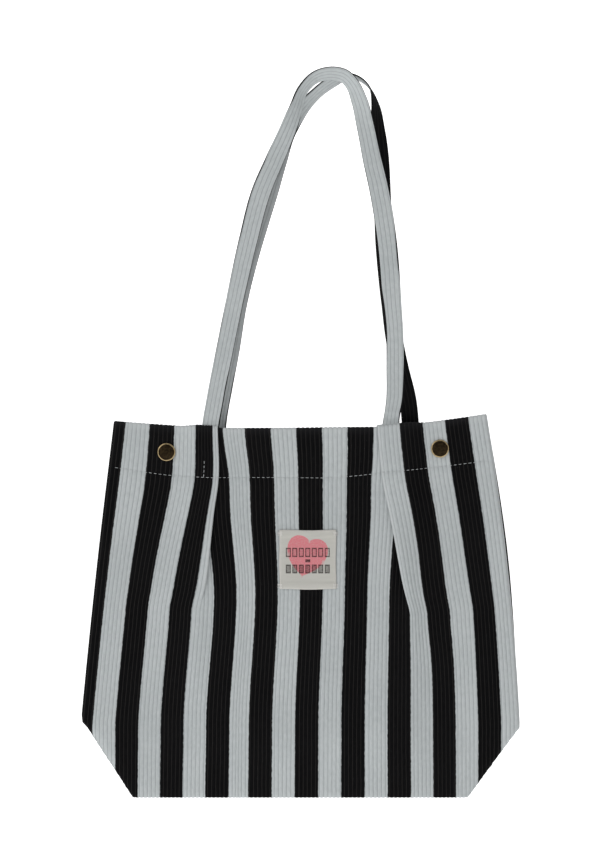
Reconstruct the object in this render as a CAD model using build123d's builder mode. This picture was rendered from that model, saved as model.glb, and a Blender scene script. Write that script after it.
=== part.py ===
from build123d import *
import math
import os

# A striped corduroy tote, hanging from its two shoulder straps. The origin is the point where a
# hook carries the straps, +X is to the bag's right as seen from the front, the front faces -Y.

# Driving dimensions, in millimetres.
cloth = 1.6                # one layer of wide-wale corduroy
hem_cloth = 3.2            # the turned hem is two layers
hem_depth = 40.0
bag_x = -28.5              # the bag's centre line hangs to the left of the hook
mouth_z = -305.0           # the middle of the mouth's edge
base_z = -624.0            # the bottom fold
mouth_half_width = 161.5
widest_half_width = 190.0
widest_z = -560.0
base_half_width = 145.5
side_bow = 2.5             # how far each side edge bows out of the straight
mouth_rise_left = 6.0      # the mouth's corners stand higher than its middle
mouth_rise_right = 12.0
mouth_flat = 70.0          # the mouth's edge is level this far each side of the centre line
split_gap = 0.3            # clearance between the two halves along the side seams

# Half thicknesses of the hanging bag, measured from the seams' plane.
snap_half = 4.6            # beside the mouth, where the snaps pull the halves together
mouth_half = 9.0
belly_half = 15.0
lower_half = 12.0
base_half = 4.5
side_belly_half = 7.0
side_lower_half = 6.0
side_base_half = 3.5
belly_z = -450.0
front_flat = 98.0          # the flat middle of the front hem ends here, from the centre line
back_flat = 103.5
front_snap_zone = 107.0
back_snap_zone = 109.5

# Straps.
strap_width = 15.0
strap_thick = 1.8
strap_end_depth = 38.0     # how far a strap end goes down inside the hem
strap_apex_y = 1.6         # each strap's distance from the middle plane at the hook
end_clearance = 0.8        # between a strap and the ends sewn into the hem
pocket_ease = 0.3          # room round a strap end inside the hem
front_strap_feet = (-106.5, 50.0)
back_strap_feet = (-99.5, 66.5)

# Snap fasteners.
snap_left = (-144.6, -324.0)
snap_right = (92.8, -321.0)
cap_radius = 7.8
cap_height = 1.7
cap_rim = 0.9
cap_dome = 0.12            # rise of the cap's middle
cap_groove = 0.4           # depth of the ring pressed round it
cap_roll = 1.6             # width of the rolled rim
hole_ease = 0.1
barrel_radius = 2.2
barrel_wall = 0.6
barrel_length = 3.6        # through the hem and into the socket
socket_radius = 6.3
socket_depth = 1.6
socket_bore = 3.2
socket_plate = 0.4
socket_lip = 0.6           # the dish is this much smaller than its flange
spring_wire = 0.25
spring_ease = 0.1
spring_arc = 320.0         # the ring is open for the rest of the turn
bulb_ease = 0.15
stud_radius = 6.0
stud_flange = 0.9
bulb_radius = 1.95
bulb_neck = 1.6
bulb_length = 1.4
bulb_taper = 0.5
stud_floor = 0.6           # depth of the pit that the post's barrel is set in
post_radius = 4.8
post_height = 0.9
post_barrel = 1.1
post_dish = 0.4            # the rivet head is hollow in the middle
post_roll = 2.0
post_set = 0.5             # how far the barrel goes past the stud's flange

# Label and threads.
label_width = 49.0
label_height = 51.0
label_thick = 0.8
label_corner = 1.0
label_tack_inset = 2.0
label_x = -22.0
label_z = -417.0
thread = 0.5
stitch_length = 3.0
stitch_pitch = 4.0
stitch_rise = 1.0          # the row runs this far above the hem's raw edge
tack_stitches = 3          # in each upright row that holds a strap end
tack_inset = 2.0
overlock_width = 7.0
overlock_thick = 1.2
overlock_margin = 0.4      # from the cloth's wall
side_seam_span = (0.2, 0.94)
corner_seam_span = (0.12, 0.9)
bottom_seam_span = (0.06, 0.94)

hem_z = mouth_z - hem_depth
hem_middle = mouth_half - hem_cloth / 2
far = 220.0                # past the bag on every side
above_mouth = 40.0         # past the mouth's raised corners
below_base = 2.0


def section_points(side, middle):
    """A level section: flat in the middle, pinched flat where the snaps are."""
    front = [(-far, -side), (-front_snap_zone, -side), (-front_flat, -middle),
             (front_flat, -middle), (front_snap_zone, -side), (far, -side)]
    back = [(far, side), (back_snap_zone, side), (back_flat, middle),
            (-back_flat, middle), (-back_snap_zone, side), (-far, side)]
    return [(bag_x + x, y) for x, y in front + back]


def add_slack(levels, inset):
    """Loft the bag's thickness through its levels, each wall moved inwards by the inset."""
    sections = []
    for level, side, middle in levels:
        with BuildSketch(Plane.XY.offset(level)) as section:
            with BuildLine():
                Polyline(*section_points(side - inset, middle - inset), close=True)
            make_face()
        sections.append(section.sketch.face())
    loft(sections, ruled=True)


def side_z(fraction):
    """Height of a point on a side edge, from the mouth at 0 to the widest level at 1."""
    return mouth_z + fraction * (widest_z - mouth_z)


def side_half_width(fraction):
    """Half width at that height, with the edge's bow."""
    straight = mouth_half_width + fraction * (widest_half_width - mouth_half_width)
    return straight + side_bow * 4 * fraction * (1 - fraction)


def outline_edges(rise_left, rise_right):
    """The bag from the front: raised mouth corners, bowed sides and boxed lower corners."""
    left = bag_x - mouth_half_width
    right = bag_x + mouth_half_width
    mouth_left = (left, mouth_z + rise_left)
    mouth_right = (right, mouth_z + rise_right)
    widest_left = (bag_x - widest_half_width, widest_z)
    widest_right = (bag_x + widest_half_width, widest_z)
    with BuildLine() as edges:
        Polyline(mouth_left, (bag_x - mouth_flat, mouth_z), (bag_x + mouth_flat, mouth_z), mouth_right)
        ThreePointArc(mouth_right, (bag_x + side_half_width(0.5), side_z(0.5)), widest_right)
        Polyline(widest_right, (bag_x + base_half_width, base_z),
                 (bag_x - base_half_width, base_z), widest_left)
        ThreePointArc(widest_left, (bag_x - side_half_width(0.5), side_z(0.5)), mouth_left)
    return edges.line


hem_levels = [(mouth_z + above_mouth, snap_half, mouth_half), (hem_z, snap_half, mouth_half)]
body_levels = [(hem_z, snap_half, mouth_half), (belly_z, side_belly_half, belly_half),
               (widest_z, side_lower_half, lower_half), (base_z - below_base, side_base_half, base_half)]

# The room inside the bag, with its open mouth.
with BuildPart() as hem_room:
    add_slack(hem_levels, hem_cloth)

with BuildPart() as body_room:
    add_slack(body_levels, cloth)

with BuildPart() as room_outline:
    with BuildSketch(Plane.XZ):
        with BuildLine():
            add(outline_edges(mouth_rise_left, mouth_rise_right))
        make_face()
        offset(amount=-cloth, kind=Kind.INTERSECTION, mode=Mode.REPLACE)
        with Locations((bag_x, mouth_z + above_mouth / 4)):
            Rectangle(2 * (mouth_half_width - cloth), above_mouth)
    extrude(amount=far, both=True)

with BuildPart() as bag_room:
    add(hem_room.part)
    add(body_room.part)
    add(room_outline.part, mode=Mode.INTERSECT)


def add_bag_shell():
    """The whole bag's cloth, before it is parted along its seams."""
    add_slack(hem_levels, 0)
    add_slack(body_levels, 0)
    with BuildSketch(Plane.XZ) as outline:
        with BuildLine():
            add(outline_edges(mouth_rise_left, mouth_rise_right))
        make_face()
    extrude(outline.sketch, amount=far, both=True, mode=Mode.INTERSECT)
    add(bag_room.part, mode=Mode.SUBTRACT)


def cut_strap_pockets(feet, y):
    """Room between the hem's two layers for the sewn-in strap ends."""
    for foot in feet:
        with Locations((foot, y, mouth_z)):
            Box(strap_width + pocket_ease, strap_thick + hole_ease,
                2 * (strap_end_depth + pocket_ease), mode=Mode.SUBTRACT)


def cut_snap_holes(radius, direction):
    """A round hole through the hem at each snap."""
    for x, z in (snap_left, snap_right):
        with Locations(Plane(origin=(x, direction * snap_half, z), z_dir=(0, direction, 0))):
            Cylinder(radius, 4 * hem_cloth, mode=Mode.SUBTRACT)


# Front panel: turned hem, snap holes and pockets for the strap ends.
with BuildPart() as front_panel:
    add_bag_shell()
    split(bisect_by=Plane.XZ.offset(split_gap / 2), keep=Keep.TOP)
    cut_strap_pockets(front_strap_feet, -hem_middle)
    cut_snap_holes(barrel_radius + hole_ease, -1)

# Back panel, the same cloth on the other side of the seams.
with BuildPart() as back_panel:
    add_bag_shell()
    split(bisect_by=Plane.XZ.offset(-split_gap / 2), keep=Keep.BOTTOM)
    cut_strap_pockets(back_strap_feet, hem_middle)
    cut_snap_holes(post_barrel + hole_ease, 1)


def mouth_height(x):
    """Height of the mouth's edge above a place on the hem."""
    from_centre = x - bag_x
    rise = mouth_rise_right if from_centre > 0 else mouth_rise_left
    beyond = max(abs(from_centre) - mouth_flat, 0)
    return mouth_z + rise * beyond / (mouth_half_width - mouth_flat)


def strap_plane(y):
    """The plane of a strap, which leans from its foot towards the hook."""
    lean = math.copysign(abs(y) - strap_apex_y, y)
    return Plane(origin=(0, y, mouth_z), x_dir=(1, 0, 0), z_dir=(0, -1, -lean / -mouth_z))


def add_strap(outer, inner, feet, y):
    """A flat strap between its outer and inner edge, from one foot over the hook to the other."""
    outer_left = (feet[0] - strap_width / 2, mouth_height(feet[0]) + end_clearance)
    inner_left = (feet[0] + strap_width / 2, mouth_height(feet[0]) + end_clearance)
    outer_right = (feet[1] + strap_width / 2, mouth_height(feet[1]) + end_clearance)
    inner_right = (feet[1] - strap_width / 2, mouth_height(feet[1]) + end_clearance)
    outer_path = [(x, z - mouth_z) for x, z in [outer_left, *outer, outer_right]]
    inner_path = [(x, z - mouth_z) for x, z in [inner_left, *inner, inner_right]]
    with BuildSketch(strap_plane(y)) as ribbon:
        with BuildLine():
            Spline(*outer_path)
            Line(outer_path[-1], inner_path[-1])
            Spline(*inner_path)
            Line(inner_path[0], outer_path[0])
        make_face()
    extrude(ribbon.sketch, amount=strap_thick / 2, both=True)


# Front strap: its edges as it hangs over the hook, gathered narrower at the top.
with BuildPart() as front_strap:
    add_strap(
        outer=[(-109.5, -279), (-93, -196), (-65, -84), (-42, -29), (-25, -1), (0, 9.5),
               (20, 1), (29, -15), (44.5, -84), (58, -196), (61.5, -255), (60, -284)],
        inner=[(-94.5, -279), (-78, -196), (-50, -84), (-28, -31), (-17, -11), (0, 0),
               (9, -5), (15, -17), (29.5, -84), (43, -196), (46.5, -255), (45, -284)],
        feet=front_strap_feet, y=-hem_middle)

# Back strap: the same length, its feet a little further right.
with BuildPart() as back_strap:
    add_strap(
        outer=[(-104.5, -279), (-90, -196), (-59.5, -84), (-38, -30), (-22, -1), (5, 10.5),
               (27, 2), (38.5, -15), (50.5, -84), (59, -196), (66, -251), (72, -279)],
        inner=[(-89.5, -279), (-75, -196), (-44.5, -84), (-24, -31), (-13, -11), (4, 0),
               (14, -5), (23, -19), (35.5, -84), (44, -196), (51, -251), (57, -279)],
        feet=back_strap_feet, y=hem_middle)


def add_strap_ends(feet, y):
    """The two ends of a strap, sewn in between the layers of the hem."""
    for foot in feet:
        top = mouth_height(foot) - end_clearance
        with Locations((foot, y, (top + mouth_z - strap_end_depth) / 2)):
            Box(strap_width, strap_thick - hole_ease, top - mouth_z + strap_end_depth)


with BuildPart() as front_strap_ends:
    add_strap_ends(front_strap_feet, -hem_middle)

with BuildPart() as back_strap_ends:
    add_strap_ends(back_strap_feet, hem_middle)

# Woven label on the front, lying on the belly's slope.
slope = (belly_half - mouth_half) / (hem_z - belly_z)
label_y = -(mouth_half + slope * (hem_z - label_z))
label_face = Plane(origin=(label_x, label_y, label_z), x_dir=(1, 0, 0), z_dir=(0, -1, slope))

with BuildPart() as label_patch:
    with BuildSketch(label_face):
        RectangleRounded(label_width, label_height, label_corner)
    extrude(amount=label_thick)

# Four short stitches tack the label's corners down.
with BuildPart() as label_tacks:
    with BuildSketch(label_face.offset(label_thick)):
        with GridLocations(label_width - 2 * label_tack_inset, label_height - 2 * label_tack_inset, 2, 2):
            SlotOverall(stitch_length, 2 * thread)
    extrude(amount=thread)


def add_hem_stitches(direction, flat, snap_zone):
    """A straight row of topstitching round one half of the hem."""
    middle_count = int(2 * flat / stitch_pitch)
    with Locations((bag_x, direction * (mouth_half + thread / 2), hem_z + stitch_rise)):
        with GridLocations(stitch_pitch, 1, middle_count, 1):
            Box(stitch_length, thread, thread)
    side_count = int((mouth_half_width - snap_zone) / stitch_pitch)
    side_middle = (mouth_half_width + snap_zone) / 2
    side_y = direction * (snap_half + thread / 2)
    for side in (-1, 1):
        with Locations((bag_x + side * side_middle, side_y, hem_z + stitch_rise)):
            with GridLocations(stitch_pitch, 1, side_count, 1):
                Box(stitch_length, thread, thread)


with BuildPart() as front_hem_thread:
    add_hem_stitches(-1, front_flat, front_snap_zone)

with BuildPart() as back_hem_thread:
    add_hem_stitches(1, back_flat, back_snap_zone)


def add_strap_tacks(feet, direction):
    """An upright row of stitches at the outer edge of each strap end, just above the hem row."""
    for foot, outward in zip(feet, (-1, 1)):
        x = foot + outward * (strap_width / 2 - tack_inset)
        y = direction * (mouth_half + thread / 2)
        for row in range(1, tack_stitches + 1):
            with Locations((x, y, hem_z + stitch_rise + row * stitch_pitch)):
                Box(thread, thread, stitch_length)


with BuildPart() as front_strap_tacks:
    add_strap_tacks(front_strap_feet, -1)

with BuildPart() as back_strap_tacks:
    add_strap_tacks(back_strap_feet, 1)


def add_overlock(start, end):
    """A flat overlocked seam edge inside the bag, to the left of the way from start to end."""
    along = Vector(end[0] - start[0], end[1] - start[1]).normalized()
    inward = Vector(-along.Y, along.X)
    margin = cloth + overlock_margin
    near = [Vector(*start) + inward * margin, Vector(*end) + inward * margin]
    deep = [near[1] + inward * overlock_width, near[0] + inward * overlock_width]
    with BuildSketch(Plane.XZ) as strip:
        with BuildLine():
            Polyline(*[(corner.X, corner.Y) for corner in near + deep], close=True)
        make_face()
    extrude(strip.sketch, amount=overlock_thick / 2, both=True)


left_edge = [(bag_x - side_half_width(f), side_z(f)) for f in side_seam_span]
right_edge = [(bag_x + side_half_width(f), side_z(f)) for f in side_seam_span]
corner_left = [(bag_x - widest_half_width, widest_z), (bag_x - base_half_width, base_z)]
corner_right = [(bag_x + widest_half_width, widest_z), (bag_x + base_half_width, base_z)]


def shortened(line, first, last):
    """The stretch of a line between two fractions of its length."""
    (x0, z0), (x1, z1) = line
    return [(x0 + (x1 - x0) * part, z0 + (z1 - z0) * part) for part in (first, last)]


with BuildPart() as left_side_overlock:
    add_overlock(*left_edge)

with BuildPart() as right_side_overlock:
    add_overlock(*reversed(right_edge))

with BuildPart() as left_corner_overlock:
    add_overlock(*shortened(corner_left, *corner_seam_span))

with BuildPart() as right_corner_overlock:
    add_overlock(*reversed(shortened(corner_right, *corner_seam_span)))

with BuildPart() as bottom_overlock:
    add_overlock(*shortened([corner_left[1], corner_right[1]], *bottom_seam_span))


def snap_axis(place, y, direction):
    """A plane across a snap's axis, its normal pointing to the front (-1) or the back (1)."""
    return Plane(origin=(place[0], y, place[1]), x_dir=(1, 0, 0), z_dir=(0, direction, 0))


def snap_profile(place, y):
    """A level plane through a snap's axis: its x is the radius, its y points to the back."""
    return Plane(origin=(place[0], y, place[1]), x_dir=(1, 0, 0), z_dir=(0, 0, 1))


def turn_about_snap(profile, place, y, arc=360.0):
    """Revolve a profile about the snap's axis."""
    revolve(profile.sketch, axis=Axis((place[0], y, place[1]), (0, 1, 0)), revolution_arc=arc)


def add_cap(place):
    """A domed cap with a rolled rim, and the hollow barrel that goes through the cloth."""
    roll_start = cap_radius - cap_roll
    bore = barrel_radius - barrel_wall
    with BuildSketch(snap_profile(place, -snap_half)) as profile:
        with BuildLine():
            Line((0, -cap_rim), (0, -cap_height))
            ThreePointArc((0, -cap_height), (cap_radius / 2, -cap_height + cap_dome),
                          (roll_start, -cap_height + cap_groove))
            ThreePointArc((roll_start, -cap_height + cap_groove),
                          ((roll_start + 2 * cap_radius) / 3, -cap_height + cap_dome),
                          (cap_radius, -cap_rim))
            Polyline((cap_radius, -cap_rim), (cap_radius, 0), (barrel_radius, 0),
                     (barrel_radius, barrel_length), (bore, barrel_length), (bore, -cap_rim), (0, -cap_rim))
        make_face()
    turn_about_snap(profile, place, -snap_half)


def add_socket(place):
    """The dish inside the front half: a rim that sits on the cloth round the sprung bore."""
    cloth_face = -snap_half + hem_cloth
    dish = socket_radius - socket_lip
    wall = socket_depth - 2 * socket_plate
    mouth = bulb_radius + bulb_ease
    rings = [(cloth_face, socket_radius, barrel_radius, socket_plate),
             (cloth_face + socket_plate, dish, socket_bore, wall),
             (cloth_face + socket_plate + wall, dish, mouth, socket_plate)]
    for y, outer, inner, thickness in rings:
        with BuildSketch(snap_axis(place, y, 1)) as ring:
            Circle(outer)
            Circle(inner, mode=Mode.SUBTRACT)
        extrude(ring.sketch, amount=thickness)


def add_spring(place):
    """The wire ring inside the socket that grips the stud."""
    y = -snap_half + hem_cloth + socket_depth - socket_plate - spring_wire
    with BuildSketch(snap_profile(place, y)) as wire:
        with Locations((bulb_radius + spring_ease + spring_wire, 0)):
            Circle(spring_wire)
    turn_about_snap(wire, place, y, spring_arc)


def add_stud(place):
    """The stud inside the back half: a flange on the cloth and the waisted bulb."""
    y = snap_half - hem_cloth
    waist = -stud_flange - socket_plate
    shoulder = -stud_flange - 2 * socket_plate
    tip = -stud_flange - bulb_length
    pit = -stud_flange - stud_floor
    with BuildSketch(snap_profile(place, y)) as profile:
        with BuildLine():
            Polyline((post_barrel, 0), (stud_radius, 0), (stud_radius, -stud_flange),
                     (bulb_neck, -stud_flange), (bulb_neck, waist), (bulb_radius, shoulder),
                     (bulb_radius, tip + bulb_taper / 2), (bulb_radius - bulb_taper, tip), (0, tip),
                     (0, pit), (post_barrel, pit), (post_barrel, 0))
        make_face()
    turn_about_snap(profile, place, y)


def add_post(place):
    """The rivet head on the outside of the back half, with the barrel that holds the stud."""
    barrel_end = -hem_cloth - stud_flange - post_set
    with BuildSketch(snap_profile(place, snap_half)) as profile:
        with BuildLine():
            Polyline((0, post_dish), (0, barrel_end), (post_barrel, barrel_end), (post_barrel, 0),
                     (post_radius, 0), (post_radius, post_height / 2))
            ThreePointArc((post_radius, post_height / 2), (post_radius - post_roll / 2, post_height),
                          (post_radius - post_roll, post_height * 3 / 4))
            Line((post_radius - post_roll, post_height * 3 / 4), (0, post_dish))
        make_face()
    turn_about_snap(profile, place, snap_half)


pieces = {
    "front_panel": front_panel,
    "back_panel": back_panel,
    "front_strap": front_strap,
    "back_strap": back_strap,
    "front_strap_ends": front_strap_ends,
    "back_strap_ends": back_strap_ends,
    "label_patch": label_patch,
    "label_tacks": label_tacks,
    "front_hem_thread": front_hem_thread,
    "back_hem_thread": back_hem_thread,
    "front_strap_tacks": front_strap_tacks,
    "back_strap_tacks": back_strap_tacks,
    "left_side_overlock": left_side_overlock,
    "right_side_overlock": right_side_overlock,
    "left_corner_overlock": left_corner_overlock,
    "right_corner_overlock": right_corner_overlock,
    "bottom_overlock": bottom_overlock,
}

# Two snap fasteners of five pressed pieces each.
for side, place in (("left", snap_left), ("right", snap_right)):
    with BuildPart() as cap:
        add_cap(place)
    with BuildPart() as socket:
        add_socket(place)
    with BuildPart() as spring:
        add_spring(place)
    with BuildPart() as stud:
        add_stud(place)
    with BuildPart() as post:
        add_post(place)
    pieces[f"{side}_snap_cap"] = cap
    pieces[f"{side}_snap_socket"] = socket
    pieces[f"{side}_snap_spring"] = spring
    pieces[f"{side}_snap_stud"] = stud
    pieces[f"{side}_snap_post"] = post

os.makedirs("parts", exist_ok=True)
for name, piece in pieces.items():
    piece.part.label = name
    export_step(piece.part, f"parts/{name}.step")
    size = piece.part.bounding_box().size
    print(f"{name}: {len(piece.part.solids())} solids, {piece.part.volume:.1f} mm3, "
          f"{size.X:.1f} x {size.Y:.1f} x {size.Z:.1f} mm")
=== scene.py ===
# %% [markdown]
# # A striped corduroy tote bag
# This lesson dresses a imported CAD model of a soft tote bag. The CAD model holds the sizes, the
# joints and the metal snaps. Everything made of cloth or thread is made here, in metres, in the
# same frame: +X to the right, +Z up, the front facing -Y, the origin under the straps' top.

# %% Load the frame
import math

import bmesh
import bpy
import numpy as np
from mathutils import Matrix, Vector


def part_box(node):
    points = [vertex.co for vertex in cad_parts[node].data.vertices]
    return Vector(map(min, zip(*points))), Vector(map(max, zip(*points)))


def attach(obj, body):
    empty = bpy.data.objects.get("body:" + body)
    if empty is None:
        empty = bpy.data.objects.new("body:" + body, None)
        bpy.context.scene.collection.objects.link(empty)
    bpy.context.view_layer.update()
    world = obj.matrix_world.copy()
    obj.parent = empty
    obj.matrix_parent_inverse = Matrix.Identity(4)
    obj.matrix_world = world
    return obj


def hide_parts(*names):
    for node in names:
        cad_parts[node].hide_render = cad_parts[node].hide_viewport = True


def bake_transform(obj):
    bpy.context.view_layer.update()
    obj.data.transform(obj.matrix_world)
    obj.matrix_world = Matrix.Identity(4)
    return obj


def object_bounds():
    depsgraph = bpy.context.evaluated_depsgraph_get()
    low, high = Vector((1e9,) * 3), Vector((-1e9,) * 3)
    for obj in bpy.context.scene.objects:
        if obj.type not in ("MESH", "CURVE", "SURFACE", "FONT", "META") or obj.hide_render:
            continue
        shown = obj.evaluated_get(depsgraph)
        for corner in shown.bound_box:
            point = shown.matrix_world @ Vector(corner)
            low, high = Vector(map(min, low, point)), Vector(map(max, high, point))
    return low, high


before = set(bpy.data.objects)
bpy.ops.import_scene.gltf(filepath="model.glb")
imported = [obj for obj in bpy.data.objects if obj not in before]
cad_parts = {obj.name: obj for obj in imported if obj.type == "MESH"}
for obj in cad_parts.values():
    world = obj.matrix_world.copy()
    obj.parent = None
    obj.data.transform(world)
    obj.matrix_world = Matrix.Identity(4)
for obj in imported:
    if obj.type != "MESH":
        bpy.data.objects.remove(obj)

cad_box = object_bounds()
MM = 0.001


def in_scene(name, data):
    """A new object that holds this data, linked to the scene."""
    made = bpy.data.objects.new(name, data)
    bpy.context.collection.objects.link(made)
    return made


print("CAD box in millimetres:", [[round(value / MM, 1) for value in corner] for corner in cad_box])

# %% [markdown]
# ## Camera, floor and light
# The bag hangs flat and is looked at square on, so the camera stands level with the middle of the
# bag and its straps. A long lens keeps the stripes straight. A pale cyclorama, one sheet that
# runs from the floor up the wall in a curve, gives a plain ground with no horizon line.

# %% Camera
PICTURE_HEIGHT = 0.7517      # metres of the object's plane that the picture takes in
LENS = 100.0
SENSOR = 36.0
AIM_NUDGE = 0.0002           # the camera's axis passes this far left of the middle, and above it

low, high = cad_box
view_x = (low.x + high.x) / 2 - AIM_NUDGE
view_z = (low.z + high.z) / 2 + AIM_NUDGE
camera_data = bpy.data.cameras.new("camera")
camera_data.lens = LENS
camera_data.sensor_width = SENSOR
camera = in_scene("camera", camera_data)
camera.location = (view_x, -PICTURE_HEIGHT * LENS / SENSOR, view_z)
camera.rotation_euler = (math.pi / 2, 0, 0)
bpy.context.scene.camera = camera
print("camera at", [round(value, 3) for value in camera.location])

# %% Cyclorama
FLOOR_DROP = 0.25            # the bag's base hangs this far over the floor
FLOOR_REACH = 6.0            # towards the camera, and to each side
WALL_Y = 5.0
WALL_TOP = 5.0
BEND_RADIUS = 1.5
BEND_STEPS = 12
PAPER_GLOW = 0.72


def cyclorama():
    """Floor, quarter bend and wall as one smooth sheet, wide enough for every view."""
    floor_z = low.z - FLOOR_DROP
    profile = [(-FLOOR_REACH, floor_z), (WALL_Y - BEND_RADIUS, floor_z)]
    for step in range(1, BEND_STEPS + 1):
        turn = step / BEND_STEPS * math.pi / 2
        profile.append((WALL_Y - BEND_RADIUS + BEND_RADIUS * math.sin(turn),
                        floor_z + BEND_RADIUS * (1 - math.cos(turn))))
    profile.append((WALL_Y, WALL_TOP))
    points = [(side * FLOOR_REACH, y, z) for side in (-1, 1) for y, z in profile]
    count = len(profile)
    faces = [(i, count + i, count + i + 1, i + 1) for i in range(count - 1)]
    mesh = bpy.data.meshes.new("cyclorama")
    mesh.from_pydata(points, [], faces)
    for face in mesh.polygons:
        face.use_smooth = True
    return in_scene("cyclorama", mesh)


backdrop = cyclorama()
paint = bpy.data.materials.new("white_paper")
paint.use_nodes = True
paper = paint.node_tree.nodes["Principled BSDF"]
paper.inputs["Base Color"].default_value = (0.9, 0.9, 0.9, 1)
paper.inputs["Roughness"].default_value = 0.9
paper.inputs["Emission Color"].default_value = (1, 1, 1, 1)
paper.inputs["Emission Strength"].default_value = PAPER_GLOW
backdrop.data.materials.append(paint)

# %% Light
WORLD_STRENGTH = 0.38       # what the bag is lit by; the camera itself sees white
world = bpy.data.worlds.new("studio")
world.use_nodes = True
ambient = world.node_tree.nodes["Background"]
ambient.inputs["Color"].default_value = (1, 1, 1, 1)
seen = world.node_tree.nodes.new("ShaderNodeMapRange")
seen.inputs["To Min"].default_value = WORLD_STRENGTH
seen.inputs["To Max"].default_value = 1.0
path = world.node_tree.nodes.new("ShaderNodeLightPath")
world.node_tree.links.new(path.outputs["Is Camera Ray"], seen.inputs["Value"])
world.node_tree.links.new(seen.outputs["Result"], ambient.inputs["Strength"])
bpy.context.scene.world = world
bpy.context.scene.view_settings.view_transform = "Standard"


SOFTBOXES = {                # each one's place, size and power
    "key_softbox": ((-1.7, -1.5, 1.0), 1.2, 26),
    "fill_softbox": ((1.9, -1.9, 0.5), 1.6, 4.5),
    "back_softbox": ((0.6, 1.1, 1.3), 1.0, 7.5)}


def softbox(name, place, size, power):
    """A square area lamp that points at the middle of the bag."""
    lamp = bpy.data.lights.new(name, "AREA")
    lamp.size = size
    lamp.energy = power
    box = in_scene(name, lamp)
    box.location = place
    aim = Vector((view_x, 0, view_z)) - Vector(place)
    box.rotation_mode = "QUATERNION"
    box.rotation_quaternion = aim.to_track_quat("-Z", "Y")


for name, (place, size, power) in SOFTBOXES.items():
    softbox(name, place, size, power)
print("lamps:", [lamp.name for lamp in bpy.data.lights])

# %% [markdown]
# ## The shape of the bag's outline
# Seen from the front the bag is a wide-mouthed pot: it broadens downwards and its lower corners
# are boxed off. These few functions say, for any height, where the side edges stand and how
# thick the slack bag is. All the cloth is laid out with them, so front, back, label and thread
# agree with each other.

# %% Outline and thickness, in millimetres
BAG_X = (low.x + high.x) / 2 / MM
WIDEST_HALF = (high.x - low.x) / 2 / MM
BASE_Z = low.z / MM
MOUTH_Z = -305.0
WIDEST_Z = -560.0
MOUTH_HALF = 161.5
BASE_HALF = 145.5
SIDE_BOW = 2.5
SIDE_SWAY = 1.4              # both sides lean a little to the right half-way down
BOX_START = {-1: -557.0, 1: -566.0}    # where each boxed corner begins
RISE_LEFT = 6.0
RISE_RIGHT = 12.0
FLAT_MOUTH_HALF = 70.0
BAG_HEIGHT = MOUTH_Z - BASE_Z
# Half the slack bag's thickness at each height, along its middle and beside its edges
MIDDLE_DEPTHS = [(-626, 3.5), (-560, 12), (-450, 14.5), (-345, 9), (-300, 9)]
SIDE_DEPTHS = [(-626, 3), (-560, 6), (-450, 7), (-345, 4.6), (-300, 4.6)]
# How far from the centre the full thickness ends and the thin sides begin
HEM_FULL, HEM_THIN = 92.0, 110.0
BELLY_FULL, BELLY_THIN = 67.0, 132.0
SLACK_START = 40.0           # the belly starts below the hem, and is slack this much further down
SLACK_REACH = 90.0


def smooth(value):
    """0 below 0, 1 above 1, and a smooth step between."""
    value = np.clip(value, 0, 1)
    return value * value * (3 - 2 * value)


def smooth_levels(z, levels):
    """A value that eases from level to level: levels are (height, value), from low to high."""
    total = np.full_like(np.asarray(z, float), levels[0][1])
    for (z0, v0), (z1, v1) in zip(levels, levels[1:]):
        total = total + (v1 - v0) * smooth((z - z0) / (z1 - z0))
    return total


def half_width(z):
    """From the centre line to the side edge, with no boxed corner."""
    fraction = np.clip((MOUTH_Z - z) / (MOUTH_Z - WIDEST_Z), 0, 1)
    straight = MOUTH_HALF + fraction * (WIDEST_HALF - MOUTH_HALF)
    return straight + SIDE_BOW * 4 * fraction * (1 - fraction)


def bag_centre(z):
    """Midway between the side edges."""
    fraction = np.clip((MOUTH_Z - z) / (MOUTH_Z - WIDEST_Z), 0, 1)
    return BAG_X + SIDE_SWAY * 4 * fraction * (1 - fraction)


def box_cut(z, side):
    """How much of the width a boxed corner takes away: side is -1 or 1."""
    fraction = np.clip((BOX_START[side] - z) / (BOX_START[side] - BASE_Z), 0, 1)
    return fraction * (WIDEST_HALF - BASE_HALF)


def mouth_rise(x):
    """The mouth's corners stand higher than its middle."""
    from_centre = x - BAG_X
    share = np.clip((np.abs(from_centre) - FLAT_MOUTH_HALF) / (MOUTH_HALF - FLAT_MOUTH_HALF), 0, 1.1)
    return np.where(from_centre > 0, RISE_RIGHT, RISE_LEFT) * share ** 1.2


def bag_depth(x, z):
    """Half thickness anywhere: full in the middle, thin at the sides, where the snaps hold it."""
    slack = smooth((MOUTH_Z - SLACK_START - z) / SLACK_REACH)
    inner_end = HEM_FULL + (BELLY_FULL - HEM_FULL) * slack
    outer_end = HEM_THIN + (BELLY_THIN - HEM_THIN) * slack
    share = smooth((outer_end - np.abs(x - BAG_X)) / (outer_end - inner_end))
    at_side = smooth_levels(z, SIDE_DEPTHS)
    return at_side + (smooth_levels(z, MIDDLE_DEPTHS) - at_side) * share


print("bag", round(2 * WIDEST_HALF), "mm wide,", round(BAG_HEIGHT), "mm high")

# %% [markdown]
# ## Corduroy, stripes and pleats
# Each panel is one piece of wide-wale corduroy: 20 mm stripes, black and light grey in turn, with
# a rib every 3.6 mm. A place on the cloth is (across, down): millimetres across the weave, counted
# from the edge of the middle black stripe, and millimetres below the mouth's folded edge. Two knife
# pleats, stitched into the hem, hide part of the cloth; they open out below the hem. A function
# from the flat cloth to its place on the bag makes the stripes, ribs and pleats agree by
# themselves, and the real ribs are part of the mesh, so the hem's edge is scalloped as it should be.

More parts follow.
